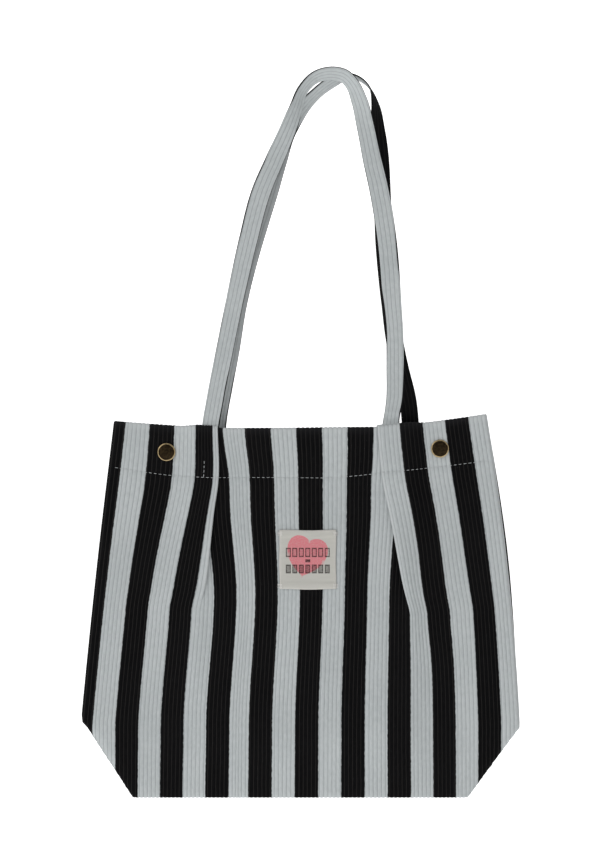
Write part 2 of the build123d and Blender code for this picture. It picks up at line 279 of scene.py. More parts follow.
# %% From the flat cloth to the bag
STRIPE = 20.0
RIB = 3.55
CLOTH = 1.25                 # thickness over the ribs
RIB_HEIGHT = 0.5
HEM_DEPTH = 40.0
CLOTH_LEFT = -204.5          # the cloth's side edges
CLOTH_RIGHT = 210.5
LAYER = 1.15                 # from one layer of a pleat to the next
EDGE_TURN = 7.0              # length of cloth that turns round the bag's side
TUCK = 10.0                  # and then runs inwards to the side seam
TURN_REACH = 2.5             # how far the turn bulges sideways
TUCK_DEPTH = 0.95            # from the seams' plane to the middle of the tucked cloth
LEFT_EASE = 3.0              # the cloth left of the middle is eased towards it by this much
RELEASE_PULL = 4.5           # the right pleat's end draws the stripes beyond it inwards
MOUTH_STRETCH = 1.9          # the mouth's edge stands this much above the straight hem
RAW_EDGE_SHORT = 1.5         # the raw edge inside the hem ends this much above the hem's stitches
EASE_FROM = -44.0            # the place on the cloth where the left side's ease starts
EASE_REACH = 14.0
RELEASE_ACROSS, RELEASE_Z = 124.0, -462.0      # where the right pleat's end pulls hardest
RELEASE_WIDE, RELEASE_TALL = 22.0, 38.0
RELEASE_PUFF = 1.9           # how far the cloth swells where a pleat lets go
RELEASE_DIP = 1.0            # and sinks beside it
HEM_PUCKER = 0.16            # the ripples beside the hem's stitches, and how far they reach
HEM_PUCKER_REACH = 9.0
HEM_DIP = 0.55               # how deep the stitches draw the cloth in, and how far that reaches
HEM_DIP_REACH = 2.2
# The middle of the hem is pulled a little wider than the cloth was cut: the stretch at each height
MIDDLE_SCALES = [(-624, 1.01), (-565, 1.0), (-450, 0.966), (-360, 1.045), (-300, 1.115)]
# Where the middle stripe's centre line runs at each height
MIDDLE_LINE = [(-620, -23.1), (-565, -22.9), (-440, -18.9), (-340, -19.6), (-300, -20.9)]


class Pleat:
    """A knife pleat: its crease on the cloth, how much it hides at the mouth and where it ends.

    Gather is the cloth taken up beside it in the hem; turn_share is how far its inner turn lies
    under the cloth beyond the crease, as a share of what it hides.
    """

    def __init__(self, crease, hidden, end_z, side, gather, turn_share):
        self.gather = gather
        self.turn_share = turn_share
        self.crease = crease
        self.hidden = hidden
        self.end_z = end_z
        self.side = side

    def width(self, z):
        """Hidden cloth at that height."""
        fall = np.clip((MOUTH_Z - z) / (MOUTH_Z - self.end_z), 0, 1)
        return self.hidden * (1 - fall ** 1.4)


left_pleat = Pleat(-92.0, 28.3, -458.0, -1, 7.0, 0.86)
right_pleat = Pleat(101.0, 37.5, -464.0, 1, 0.0, 0.64)


def middle_scale(z):
    """Millimetres of bag for each millimetre of cloth between the pleats."""
    return smooth_levels(z, MIDDLE_SCALES)


def middle_x(z):
    """Where the middle stripe's centre line runs."""
    return smooth_levels(z, MIDDLE_LINE)


def middle_place(across, z):
    """x of a place on the middle part, between the pleats."""
    eased = LEFT_EASE * smooth((EASE_FROM - across) / EASE_REACH)
    return middle_x(z) + (across - STRIPE / 2) * middle_scale(z) + eased


def fold_x(pleat, z):
    """The visible edge of a pleat."""
    return middle_place(pleat.crease - pleat.side * pleat.width(z), z)


def cloth_edge(pleat):
    """The side edge of the cloth beyond a pleat."""
    return CLOTH_RIGHT if pleat.side > 0 else CLOTH_LEFT


def side_spread(pleat, z):
    """Millimetres of bag for each millimetre of cloth, between a pleat and the side."""
    room = np.abs(bag_centre(z) + pleat.side * half_width(z) - fold_x(pleat, z)) - TURN_REACH
    return room / (abs(cloth_edge(pleat) - pleat.crease) - TUCK - EDGE_TURN)


def outer_x(across, pleat, z, inner_share):
    """x of the cloth from a pleat to the side, round its turn and in to the seam."""
    to_edge = np.abs(cloth_edge(pleat) - across)
    laid = np.maximum(to_edge - TUCK - EDGE_TURN, 0)
    share = np.clip(laid / (abs(cloth_edge(pleat) - pleat.crease) - TUCK - EDGE_TURN), 0, 1)
    gathered = pleat.gather * smooth((z + 440) / 90) * np.sin(math.pi * share ** 1.5)
    flat = laid * side_spread(pleat, z) + gathered
    angle = np.clip((TUCK + EDGE_TURN - to_edge) / EDGE_TURN, 0, 1) * math.pi
    bulge = (TURN_REACH - 1.2 * inner_share) * np.sin(angle)
    tuck = np.maximum(TUCK - to_edge, 0)
    return bag_centre(z) + pleat.side * (half_width(z) - TURN_REACH - flat + bulge - tuck)


def boxed_edge(pleat, z):
    """Where the boxed corner's seam cuts the cloth at that height."""
    cut = box_cut(z, pleat.side)
    flat_cut = TUCK + EDGE_TURN + np.maximum(cut - TURN_REACH, 0) / side_spread(pleat, z)
    return cloth_edge(pleat) - pleat.side * flat_cut * smooth(cut / 5.0)


def cloth_x(across, z, inner_share):
    """x of a place on the cloth."""
    x = middle_place(across, z)
    for pleat in (left_pleat, right_pleat):
        beyond = (across - pleat.crease) * pleat.side
        width = pleat.width(z)
        x = np.where(beyond >= 0, outer_x(across, pleat, z, inner_share), x)
        in_pleat = (beyond < 0) & (beyond > -width)
        tuck = (width / 2 - np.abs(beyond + width / 2)) * middle_scale(z)
        x = np.where(in_pleat, fold_x(pleat, z) + pleat.side * tuck, x)
    near_release = ((across - RELEASE_ACROSS) / RELEASE_WIDE) ** 2 + ((z - RELEASE_Z) / RELEASE_TALL) ** 2
    return x - RELEASE_PULL * np.exp(-near_release)


def pleat_lift(across, z):
    """How far the cloth stands in front of the middle part: one layer, then two, then easing off."""
    lift = np.zeros(np.broadcast(across, z).shape)
    for pleat in (left_pleat, right_pleat):
        beyond = (across - pleat.crease) * pleat.side
        width = pleat.width(z)
        strength = smooth(width / 9.0)
        first = smooth((beyond + width / 2 + 1.4) / 2.8)
        second = smooth((beyond + 1.0) / 2.0)
        over_turn = pleat.turn_share * width
        easing = 1 - smooth((beyond - over_turn) / (38.0 - 18.0 * width / pleat.hidden))
        lift = lift + LAYER * strength * (first + second) * np.where(beyond > 0, easing, 1)
        released = smooth((z + 560) / 70) * (1 - smooth((z + 430) / 90))
        lift = lift + RELEASE_PUFF * released * np.exp(-((beyond - 2) / 9.0) ** 2)
        lift = lift - RELEASE_DIP * released * np.exp(-((beyond + 15) / 11.0) ** 2)
    return lift


def hem_depth(across):
    """The hem is turned a little shallower towards the sides."""
    return HEM_DEPTH + 1.0 - 4.2 * smooth((across - 20) / 60) - 3.4 * smooth((-140 - across) / 50)


def soft_waves(across, down):
    """The gentle unevenness of slack cloth, none at the hem and the bottom."""
    body = smooth((down - 45) / 60) * smooth((BAG_HEIGHT - down) / 60)
    waves = 0.9 * np.sin(across / 31 + down / 70 + 1.0) * np.sin(down / 58 + 0.4)
    waves = waves + 0.6 * np.sin(across / 17 - down / 90) * np.sin(down / 37 + across / 120)
    below_hem = down - hem_depth(across)
    hem_pull = np.exp(-(below_hem / HEM_PUCKER_REACH) ** 2)
    puckers = HEM_PUCKER * np.sin(across / 1.9) * np.sin(across / 7.3 + 1.3)
    seam_dip = -HEM_DIP * np.exp(-(below_hem / HEM_DIP_REACH) ** 2)
    return body * waves + hem_pull * puckers + seam_dip


print("pleats hide", left_pleat.hidden, "and", right_pleat.hidden, "mm at the mouth")

# %% [markdown]
# ### One panel as a grid
# The grid's columns follow the weave, four to a rib, so a rib's groove always falls on a column.
# Its rows start at the raw edge inside the hem, go up, over the mouth's fold and down the outside
# to the bottom seam. Both faces of the cloth are offset from this middle surface.

# %% Rows and columns
COLUMN = RIB / 4
HEM_INSIDE_ROWS = 9
FOLD_ROWS = 6
FOLD_HEIGHT = 1.4


def panel_columns():
    """Places across the cloth: every quarter rib, and the two cut edges."""
    first = math.ceil(CLOTH_LEFT / COLUMN + 0.3)
    last = math.floor(CLOTH_RIGHT / COLUMN - 0.3)
    return np.array([CLOTH_LEFT] + [step * COLUMN for step in range(first, last + 1)] + [CLOTH_RIGHT])


def panel_rows():
    """(distance below the fold, share of the way to the inner layer) from the raw edge down."""
    rows = [(down, 1.0) for down in np.linspace(HEM_DEPTH - RAW_EDGE_SHORT, FOLD_HEIGHT, HEM_INSIDE_ROWS)]
    for step in range(1, FOLD_ROWS):
        angle = math.pi * step / FOLD_ROWS
        rows.append((FOLD_HEIGHT * (1 - math.sin(angle)), (1 + math.cos(angle)) / 2))
    outside = list(np.arange(FOLD_HEIGHT, 34, 4.5)) + [35, 36, 37, 38, 39, 40, 41, 42, 43.5, 45.5]
    outside += list(np.arange(49.5, 300, 6.2)) + [302, 306, 309.5, 312.5, 315, 317, 318.3, BAG_HEIGHT]
    return np.array(rows + [(down, 0.0) for down in outside])


def rib_profile(across):
    """A rounded rib with a narrow groove: 0 at the crest, -1 in the groove."""
    return -(1 - np.abs(np.sin(math.pi * across / RIB)) ** 0.6)


def panel_surface(across, down, inner_share):
    """The middle surface of the cloth, in millimetres, for the front half (y is minus the depth)."""
    level = MOUTH_Z - down
    left_limit = boxed_edge(left_pleat, level)
    right_limit = boxed_edge(right_pleat, level)
    held = np.clip(across, left_limit, right_limit)
    x = cloth_x(held, level, inner_share)
    cut = np.where(across < 0, box_cut(level, -1), box_cut(level, 1))
    # Height: the corners rise, and the mouth's edge climbs over the pleats
    lift = pleat_lift(held, level)
    rise = mouth_rise(x)
    z = MOUTH_Z - down + rise * (1 - down / BAG_HEIGHT) - 0.35 + 0.85 * lift * np.exp(-down / 12.0)
    z = z + (MOUTH_STRETCH + 0.9 * np.exp(-((x - 35) / 60) ** 2)) * np.exp(-down / 14.0)
    # Depth of the outer layer, and of the hem behind it
    side_share = smooth((np.abs(x - BAG_X) - 95) / 20)
    gap = 2.9 - 1.2 * side_share
    depth = bag_depth(x, level) - CLOTH / 2 + lift * (1 - 2 * inner_share) - gap * inner_share
    depth = depth + soft_waves(held, down) * (1 - inner_share)
    # Round the side and back to the seams' plane
    to_edge = np.minimum(held - CLOTH_LEFT, CLOTH_RIGHT - held)
    angle = np.clip((TUCK + EDGE_TURN - to_edge) / EDGE_TURN, 0, 1) * math.pi
    tucked = TUCK_DEPTH + 1.25 * inner_share
    depth = (depth + tucked) / 2 + (depth - tucked) / 2 * np.cos(angle)
    # Down to nothing at the boxed corners and the bottom seam
    to_box = np.minimum(held - left_limit, right_limit - held)
    box_turn = np.sin(np.clip(to_box / EDGE_TURN, 0, 1) * math.pi / 2)
    side_turn = 1 - smooth(cut / 5.0) * (1 - box_turn)
    bottom_turn = np.sqrt(np.clip(1 - (1 - np.clip((BAG_HEIGHT - down) / 9.0, 0, 1)) ** 2, 0, 1))
    depth = depth * side_turn * bottom_turn
    farthest = half_width(level) - cut
    x = np.where(cut > 0.01, np.clip(x, bag_centre(level) - farthest, bag_centre(level) + farthest), x)
    return np.stack([x, -depth, z], axis=-1), held


print(len(panel_columns()), "columns and", len(panel_rows()), "rows to a panel")

# %% [markdown]
# ### Closing the cloth
# A sheet of cloth has two faces and cut edges. Both faces are grids of the same size, so the
# edges are closed with one ring of quads. The texture coordinates are the flat cloth's own
# millimetres, kept in metres, and an attribute remembers where the cloth is worn: the mouth's
# fold, the pleats' creases and the side seams.

# %% Mesh from two grids


def grid_faces(rows, columns, offset=0, flip=False):
    """Quads of a grid whose points are stored row by row."""
    start = (np.arange(rows - 1)[:, None] * columns + np.arange(columns - 1)[None, :]).ravel() + offset
    quads = np.stack([start, start + columns, start + columns + 1, start + 1], axis=1)
    return quads[:, ::-1] if flip else quads


def rim_faces(rows, columns, offset, flip):
    """Quads that join the outlines of two stacked grids."""
    top = list(range(columns))
    right = [row * columns + columns - 1 for row in range(1, rows)]
    bottom = [(rows - 1) * columns + column for column in range(columns - 2, -1, -1)]
    left = [row * columns for row in range(rows - 2, 0, -1)]
    ring = np.array(top + right + bottom + left)
    following = np.roll(ring, -1)
    quads = np.stack([ring, following, following + offset, ring + offset], axis=1)
    return quads[:, ::-1] if flip else quads


def unit(vectors):
    """Vectors of length one."""
    return vectors / np.maximum(np.linalg.norm(vectors, axis=-1, keepdims=True), 1e-9)


def normals_of(points):
    """Unit normals of a grid of points, facing the side that the quads face."""
    return unit(np.cross(np.gradient(points, axis=0), np.gradient(points, axis=1)))


def mesh_from(name, points, quads, uv, wear, face_materials):
    """A smooth-shaded object from arrays, with its cloth coordinates and its wear."""
    mesh = bpy.data.meshes.new(name)
    mesh.from_pydata(points.tolist(), [], quads.tolist())
    mesh.polygons.foreach_set("use_smooth", np.ones(len(quads), bool))
    mesh.polygons.foreach_set("material_index", face_materials)
    layer = mesh.uv_layers.new(name="cloth")
    corners = np.zeros(len(mesh.loops), np.int32)
    mesh.loops.foreach_get("vertex_index", corners)
    layer.data.foreach_set("uv", uv[corners].astype(np.float32).ravel())
    attribute = mesh.attributes.new("wear", "FLOAT", "POINT")
    attribute.data.foreach_set("value", wear.astype(np.float32))
    return in_scene(name, mesh)


def weld(made, distance):
    """Merge points that fell together, and drop the faces that vanished with them."""
    work = bmesh.new()
    work.from_mesh(made.data)
    bmesh.ops.remove_doubles(work, verts=work.verts, dist=distance)
    bmesh.ops.dissolve_degenerate(work, edges=work.edges, dist=distance / 2)
    loose = [vertex for vertex in work.verts if not vertex.link_faces]
    bmesh.ops.delete(work, geom=loose, context="VERTS")
    work.to_mesh(made.data)
    work.free()


def triangles(made):
    """How many triangles a piece has."""
    return sum(len(face.vertices) - 2 for face in made.data.polygons)


# %% Two panels
BACK_PEEK = 2.0              # the back cloth's black edge shows past the front at the right
BACK_SHIFT = 4.5             # because its stripes lie this much farther in there


def make_panel(name, facing):
    """The front (facing -1) or back (facing 1) panel as closed cloth."""
    columns_at, rows_at = panel_columns(), panel_rows()
    across, down = np.meshgrid(columns_at, rows_at[:, 0])
    _, inner = np.meshgrid(columns_at, rows_at[:, 1])
    middle, held = panel_surface(across, down, inner)
    middle[..., 1] *= -facing
    shift = 0 * held
    if facing > 0:
        turn = np.exp(-((CLOTH_RIGHT - held - TUCK - EDGE_TURN / 2) / 3) ** 2)
        middle[..., 0] += BACK_PEEK * turn * np.exp(-((MOUTH_Z - down + 420) / 75) ** 2)
        shift = BACK_SHIFT * smooth((held - 150) / 40)
    normal = normals_of(middle) * -facing
    outer = middle + normal * (CLOTH / 2 + RIB_HEIGHT * rib_profile(held))[..., None]
    under = middle - normal * (CLOTH / 2)
    for face in (outer, under):
        face[:, 0, 1] = 0.0
        face[:, -1, 1] = 0.0
        face[-1, :, 1] = 0.0
    rows, columns = across.shape
    points = np.concatenate([outer.reshape(-1, 3), under.reshape(-1, 3)]) * MM
    flip = facing > 0
    count = rows * columns
    sheets = [grid_faces(rows, columns, 0, flip), grid_faces(rows, columns, count, not flip),
              rim_faces(rows, columns, count, flip)]
    down_cloth = np.where(inner > 0.5, -down, down)
    uv = np.stack([held + shift, down_cloth], axis=-1).reshape(-1, 2) * MM
    crease_wear = sum(np.exp(-((held - pleat.crease) / 2.2) ** 2) * smooth(pleat.width(MOUTH_Z - down) / 9)
                      for pleat in (left_pleat, right_pleat))
    from_side = np.minimum(held - CLOTH_LEFT, CLOTH_RIGHT - held) - TUCK - EDGE_TURN / 2
    seam_wear = np.exp(-(from_side / 2.5) ** 2)
    wear = np.clip(np.exp(-down / 2.2) + crease_wear + 0.6 * seam_wear, 0, 1).ravel()
    materials = np.concatenate([np.full(len(part), index) for part, index in zip(sheets, (0, 1, 0))])
    made = mesh_from(name, points, np.concatenate(sheets), np.concatenate([uv, uv]),
                     np.concatenate([wear, wear]), materials.astype(np.int32))
    weld(made, 0.00002)
    print(name, triangles(made), "triangles")
    return made


front_cloth = make_panel("front_panel_cloth", -1)
back_cloth = make_panel("back_panel_cloth", 1)

# %% [markdown]
# ## Small helpers for materials
# A shader tree is easier to read as formulas. `add_node` makes any node and feeds its inputs with
# sockets or plain values, `calc` does that for one Math node and returns its output, and `dress`
# makes the last links of a material. Effects that several materials share are node groups with
# named inputs and outputs, built once: the ribs and pile of corduroy, and a plain weave.

# %% Shader helpers


def plug(tree, value, socket):
    """Connect a socket, or set a number."""
    if isinstance(value, bpy.types.NodeSocket):
        tree.links.new(value, socket)
    else:
        socket.default_value = value


def add_node(tree, kind, feeds=None, **settings):
    """A node with its settings, and with sockets or plain values fed to its inputs."""
    made = tree.nodes.new(kind)
    for key, value in settings.items():
        setattr(made, key, value)
    for key, value in (feeds or {}).items():
        plug(tree, value, made.inputs[key])
    return made


def calc(tree, operation, first, second=0.0, third=0.0):
    """One Math node."""
    return add_node(tree, "ShaderNodeMath", {0: first, 1: second, 2: third}, operation=operation).outputs[0]


def ramp(tree, value, start, end, low_value=0.0, high_value=1.0):
    """A smooth step of a value from start to end."""
    feeds = {"From Min": start, "From Max": end, "To Min": low_value, "To Max": high_value, "Value": value}
    return add_node(tree, "ShaderNodeMapRange", feeds, interpolation_type="SMOOTHSTEP").outputs["Result"]


def noise(tree, vector, scale, detail=3.0, stretch=(1, 1, 1)):
    """Noise around 0.5, stretched by scaling its coordinates."""
    mapping = add_node(tree, "ShaderNodeMapping", {"Scale": stretch, "Vector": vector})
    feeds = {"Scale": scale, "Detail": detail, "Vector": mapping.outputs["Vector"]}
    return add_node(tree, "ShaderNodeTexNoise", feeds).outputs["Fac"]


def wander(tree, vector, amount, scale, detail=3.0, stretch=(1, 1, 1)):
    """A drift that noise gives a line, by up to half the amount either way."""
    drift = calc(tree, "SUBTRACT", noise(tree, vector, scale, detail, stretch), 0.5)
    return calc(tree, "MULTIPLY", drift, amount)


def mix_colour(tree, share, first, second):
    """Mix two colours by a share."""
    feeds = {"Factor": share, 6: first, 7: second}
    return add_node(tree, "ShaderNodeMix", feeds, data_type="RGBA").outputs[2]


def split(tree, vector):
    """The three parts of a vector."""
    return add_node(tree, "ShaderNodeSeparateXYZ", {0: vector}).outputs


def shader_group(name, inputs, outputs):
    """An empty shader node group with its input and output nodes."""
    tree = bpy.data.node_groups.new(name, "ShaderNodeTree")
    for socket_name, kind, value in inputs:
        socket = tree.interface.new_socket(socket_name, in_out="INPUT", socket_type=kind)
        if value is not None:
            socket.default_value = value
    for socket_name in outputs:
        tree.interface.new_socket(socket_name, in_out="OUTPUT", socket_type="NodeSocketFloat")
    return tree, tree.nodes.new("NodeGroupInput").outputs, tree.nodes.new("NodeGroupOutput").inputs


def use_group(tree, group, values):
    """A node group in a material, with its inputs set by name."""
    return add_node(tree, "ShaderNodeGroup", values, node_tree=group).outputs


def cloth_coordinates(tree):
    """The flat cloth's own metres."""
    return add_node(tree, "ShaderNodeUVMap", uv_map="cloth").outputs["UV"]


def object_coordinates(tree):
    """Object coordinates, in metres."""
    return tree.nodes.new("ShaderNodeTexCoord").outputs["Object"]


def worn_places(tree):
    """The wear that the mesh remembers."""
    return add_node(tree, "ShaderNodeAttribute", attribute_name="wear").outputs["Fac"]


def dress(tree, surface, colour, roughness, height, strength, distance):
    """A material's last links: its colour, its roughness and its fine relief."""
    relief = add_node(tree, "ShaderNodeBump", {"Strength": strength, "Distance": distance, "Height": height})
    tree.links.new(colour, surface.inputs["Base Color"])
    tree.links.new(roughness, surface.inputs["Roughness"])
    tree.links.new(relief.outputs["Normal"], surface.inputs["Normal"])


def new_material(name, roughness, sheen=0.0, metallic=0.0):
    """A material, its tree and its Principled shader."""
    made = bpy.data.materials.new(name)
    made.use_nodes = True
    surface = made.node_tree.nodes["Principled BSDF"]
    surface.inputs["Roughness"].default_value = roughness
    surface.inputs["Metallic"].default_value = metallic
    surface.inputs["Specular IOR Level"].default_value = 0.03 if metallic == 0 else 0.5
    surface.inputs["Sheen Weight"].default_value = sheen
    surface.inputs["Sheen Roughness"].default_value = 0.5
    return made, made.node_tree, surface


# %% Ribs and pile


def make_pile_group():
    """Where the grooves lie, how the pile stands and how its colour wanders."""
    tree, given, wanted = shader_group(
        "corduroy_pile",
        [("Cloth", "NodeSocketVector", None), ("Rib Pitch", "NodeSocketFloat", RIB * MM),
         ("Wear", "NodeSocketFloat", 0.0)],
        ["Groove", "Height", "Mottle", "Lint"])
    across = split(tree, given["Cloth"])[0]
    place = calc(tree, "ADD", across, wander(tree, given["Cloth"], 0.0006, 90.0))
    phase = calc(tree, "FRACT", calc(tree, "DIVIDE", place, given["Rib Pitch"]))
    from_crest = calc(tree, "MULTIPLY", calc(tree, "ABSOLUTE", calc(tree, "SUBTRACT", phase, 0.5)), 2.0)
    groove = ramp(tree, from_crest, 0.72, 0.95)
    tufts = noise(tree, given["Cloth"], 1500.0, 2.0, (1.0, 0.55, 1.0))
    rows = noise(tree, given["Cloth"], 700.0, 2.0, (0.35, 1.6, 1.0))
    height = calc(tree, "ADD", calc(tree, "MULTIPLY", tufts, 0.6), calc(tree, "MULTIPLY", rows, 0.4))
    unworn = calc(tree, "SUBTRACT", 1.0, calc(tree, "MULTIPLY", given["Wear"], 0.4))
    flattened = calc(tree, "MULTIPLY", height, unworn)
    broad = noise(tree, given["Cloth"], 14.0, 3.0)
    fine = noise(tree, given["Cloth"], 420.0, 3.0, (1.0, 0.5, 1.0))
    mottle = calc(tree, "ADD", calc(tree, "MULTIPLY", broad, 0.45), calc(tree, "MULTIPLY", fine, 0.55))
    lint = ramp(tree, noise(tree, given["Cloth"], 330.0, 4.0), 0.68, 0.76)
    tree.links.new(groove, wanted["Groove"])
    tree.links.new(flattened, wanted["Height"])
    tree.links.new(mottle, wanted["Mottle"])
    tree.links.new(lint, wanted["Lint"])
    return tree


pile_group = make_pile_group()

# %% [markdown]
# ## The striped corduroy
# The stripes follow the flat cloth's coordinates, so they run straight into a pleat and come out
# on its other side. Light cloth darkens in the grooves, where the pile shades itself. Black cloth
# does the opposite: a painted sheen lightens it a little in the grooves, and lint catches. Folds
# and seams are rubbed, so the black greys there and the light cloth brightens. A slight sheen
# stands for the brushed pile.

# %% Striped corduroy
LIGHT_CLOTH = (0.43, 0.455, 0.46, 1)
LIGHT_GROOVE = (0.21, 0.225, 0.23, 1)
LIGHT_MOTTLE = (0.37, 0.395, 0.40, 1)
BLACK_CLOTH = (0.0030, 0.0030, 0.0033, 1)
BLACK_MOTTLE = (0.0050, 0.0049, 0.0053, 1)
# painted sheen: the colour that black cloth is lightened to in its grooves
BLACK_GROOVE_SHEEN = (0.020, 0.0185, 0.018, 1)
RUBBED_BLACK = (0.022, 0.022, 0.024, 1)
RUBBED_LIGHT = (0.50, 0.52, 0.525, 1)


def pile_colours(tree, pile, worn, light_share):
    """Light and black corduroy, mixed by the share of light."""
    light = mix_colour(tree, ramp(tree, pile["Mottle"], 0.38, 0.62, 0.0, 0.8), LIGHT_CLOTH, LIGHT_MOTTLE)
    light = mix_colour(tree, calc(tree, "MULTIPLY", pile["Groove"], 0.62), light, LIGHT_GROOVE)
    light = mix_colour(tree, calc(tree, "MULTIPLY", worn, 0.5), light, RUBBED_LIGHT)
    black = mix_colour(tree, ramp(tree, pile["Mottle"], 0.35, 0.65), BLACK_CLOTH, BLACK_MOTTLE)
    # Painted sheen: black cloth is lightened a little in its grooves
    black = mix_colour(tree, calc(tree, "MULTIPLY", pile["Groove"], 0.8), black, BLACK_GROOVE_SHEEN)
    black = mix_colour(tree, calc(tree, "MULTIPLY", pile["Lint"], 0.35), black, RUBBED_BLACK)
    black = mix_colour(tree, calc(tree, "MULTIPLY", worn, 0.55), black, RUBBED_BLACK)
    return mix_colour(tree, light_share, black, light)


def stripe_share(tree, cloth):
    """1 on a light stripe, 0 on a black one, with the weave's slight unevenness at the edge."""
    across = split(tree, cloth)[0]
    wandering = calc(tree, "ADD", across, wander(tree, cloth, 0.0011, 260.0))
    place = calc(tree, "FRACT", calc(tree, "DIVIDE", wandering, 2 * STRIPE * MM))
    from_light = calc(tree, "ABSOLUTE", calc(tree, "SUBTRACT", place, 0.75))
    return ramp(tree, from_light, 0.256, 0.235)


def dress_pile(tree, surface, pile, colour):
    """Corduroy's roughness and relief, the same on panels and straps."""
    roughness = ramp(tree, pile["Mottle"], 0.3, 0.7, 0.88, 1.0)
    dress(tree, surface, colour, roughness, pile["Height"], 0.55, 0.0006)


def make_striped_corduroy():
    """The outside of the panels."""
    made, tree, surface = new_material("striped_corduroy", 0.95, sheen=0.01)
    cloth = cloth_coordinates(tree)
    worn = worn_places(tree)
    pile = use_group(tree, pile_group, {"Cloth": cloth, "Rib Pitch": RIB * MM, "Wear": worn})
    dress_pile(tree, surface, pile, pile_colours(tree, pile, worn, stripe_share(tree, cloth)))
    return made


# %% Weave and the back of the cloth
BACK_BLACK = (0.012, 0.012, 0.013, 1)
BACK_LIGHT = (0.36, 0.375, 0.38, 1)
BACK_SLUB = (0.10, 0.10, 0.105, 1)


def make_weave_group():
    """A plain weave: over and under threads at a named pitch."""
    tree, given, wanted = shader_group(
        "plain_weave", [("Cloth", "NodeSocketVector", None), ("Pitch", "NodeSocketFloat", 0.0005)],
        ["Height", "Slub"])
    across, down, _ = split(tree, given["Cloth"])
    waves = []
    for part, other in ((across, down), (down, across)):
        turn = calc(tree, "MULTIPLY", calc(tree, "DIVIDE", part, given["Pitch"]), math.pi)
        swap = calc(tree, "MULTIPLY", calc(tree, "DIVIDE", other, given["Pitch"]), math.pi)
        waves.append(calc(tree, "MULTIPLY", calc(tree, "SINE", turn), calc(tree, "COSINE", swap)))
    height = calc(tree, "ADD", calc(tree, "MULTIPLY", waves[0], 0.5), calc(tree, "MULTIPLY", waves[1], 0.5))
    slub = noise(tree, given["Cloth"], 240.0, 3.0, (0.2, 1.6, 1.0))
    tree.links.new(calc(tree, "ADD", calc(tree, "MULTIPLY", height, 0.5), 0.5), wanted["Height"])
    tree.links.new(slub, wanted["Slub"])
    return tree


weave_group = make_weave_group()


def make_cloth_back():
    """The inside of corduroy is its flat ground weave, the same stripes but duller."""
    made, tree, surface = new_material("corduroy_ground_weave", 0.9)
    cloth = cloth_coordinates(tree)
    weave = use_group(tree, weave_group, {"Cloth": cloth, "Pitch": 0.0007})
    stripes = mix_colour(tree, stripe_share(tree, cloth), BACK_BLACK, BACK_LIGHT)
    shade = mix_colour(tree, calc(tree, "MULTIPLY", weave["Slub"], 0.35), stripes, BACK_SLUB)
    roughness = ramp(tree, weave["Slub"], 0.3, 0.7, 0.8, 0.95)
    dress(tree, surface, shade, roughness, weave["Height"], 0.5, 0.0003)
    return made


striped_corduroy = make_striped_corduroy()
cloth_back = make_cloth_back()

# %% Dress the panels
for panel, node in ((front_cloth, "front_panel"), (back_cloth, "back_panel")):
    panel.data.materials.append(striped_corduroy)
    panel.data.materials.append(cloth_back)
    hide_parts(node)
    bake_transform(panel)

# %% [markdown]
# ## The straps
# A strap is a strip of the same corduroy folded lengthwise, a light face in front and a black one
# behind, so black shows as a thin line along its edges. It bends sideways over the hook, which
# flat cloth can't do: it tips on edge there and buckles. The strap is laid out as a list
# of stations, each with its place, its tilt about its own length and its half width, and a
# ribbed cross-section is carried along a smooth line through them.

# %% Strap stations: x, z, y, tilt in degrees, half width, in millimetres
FRONT_STATIONS = [
    (-106.5, -342, -7.4, 0, 7.4), (-106.5, -322, -7.4, 0, 7.4), (-106.2, -303, -7.4, 0, 7.5),
    (-102.4, -279, -7.1, 0, 7.5), (-94.3, -237, -6.4, 0, 7.5), (-86, -196, -5.8, 0, 7.6),
    (-73.6, -140, -5.2, 0, 8.2), (-62.4, -98, -4.8, 3, 8.4), (-50.6, -70, -4.6, 8, 8.0),
    (-38.4, -42.6, -5.2, 20, 7.7), (-32.6, -27, -6.2, 42, 7.5), (-26.3, -10, -7, 57, 7.5),
    (-14, 1.8, -7.2, 55, 7.6), (0, 4.4, -7.2, 50, 7.7), (9.5, 2.0, -7, 48, 7.6),
    (17.3, -6.2, -6, 44, 7.6), (22.4, -18, -5, 30, 7.6), (28.4, -42.6, -4.2, 8, 7.6),
    (34.0, -70.5, -4, 0, 8.0), (40.2, -98, -4.2, 0, 8.3), (46.8, -140, -4.9, 0, 8.4),
    (51.3, -196, -5.8, 0, 8.1), (53.5, -224, -6.3, 0, 7.5), (53.8, -251, -6.8, 0, 7.5),
    (53.4, -279, -7.2, 0, 7.4), (51.0, -293, -7.3, 0, 6.9), (50.0, -303, -7.4, 0, 7.6),
    (50, -322, -7.4, 0, 7.4), (50, -342, -7.4, 0, 7.4)]
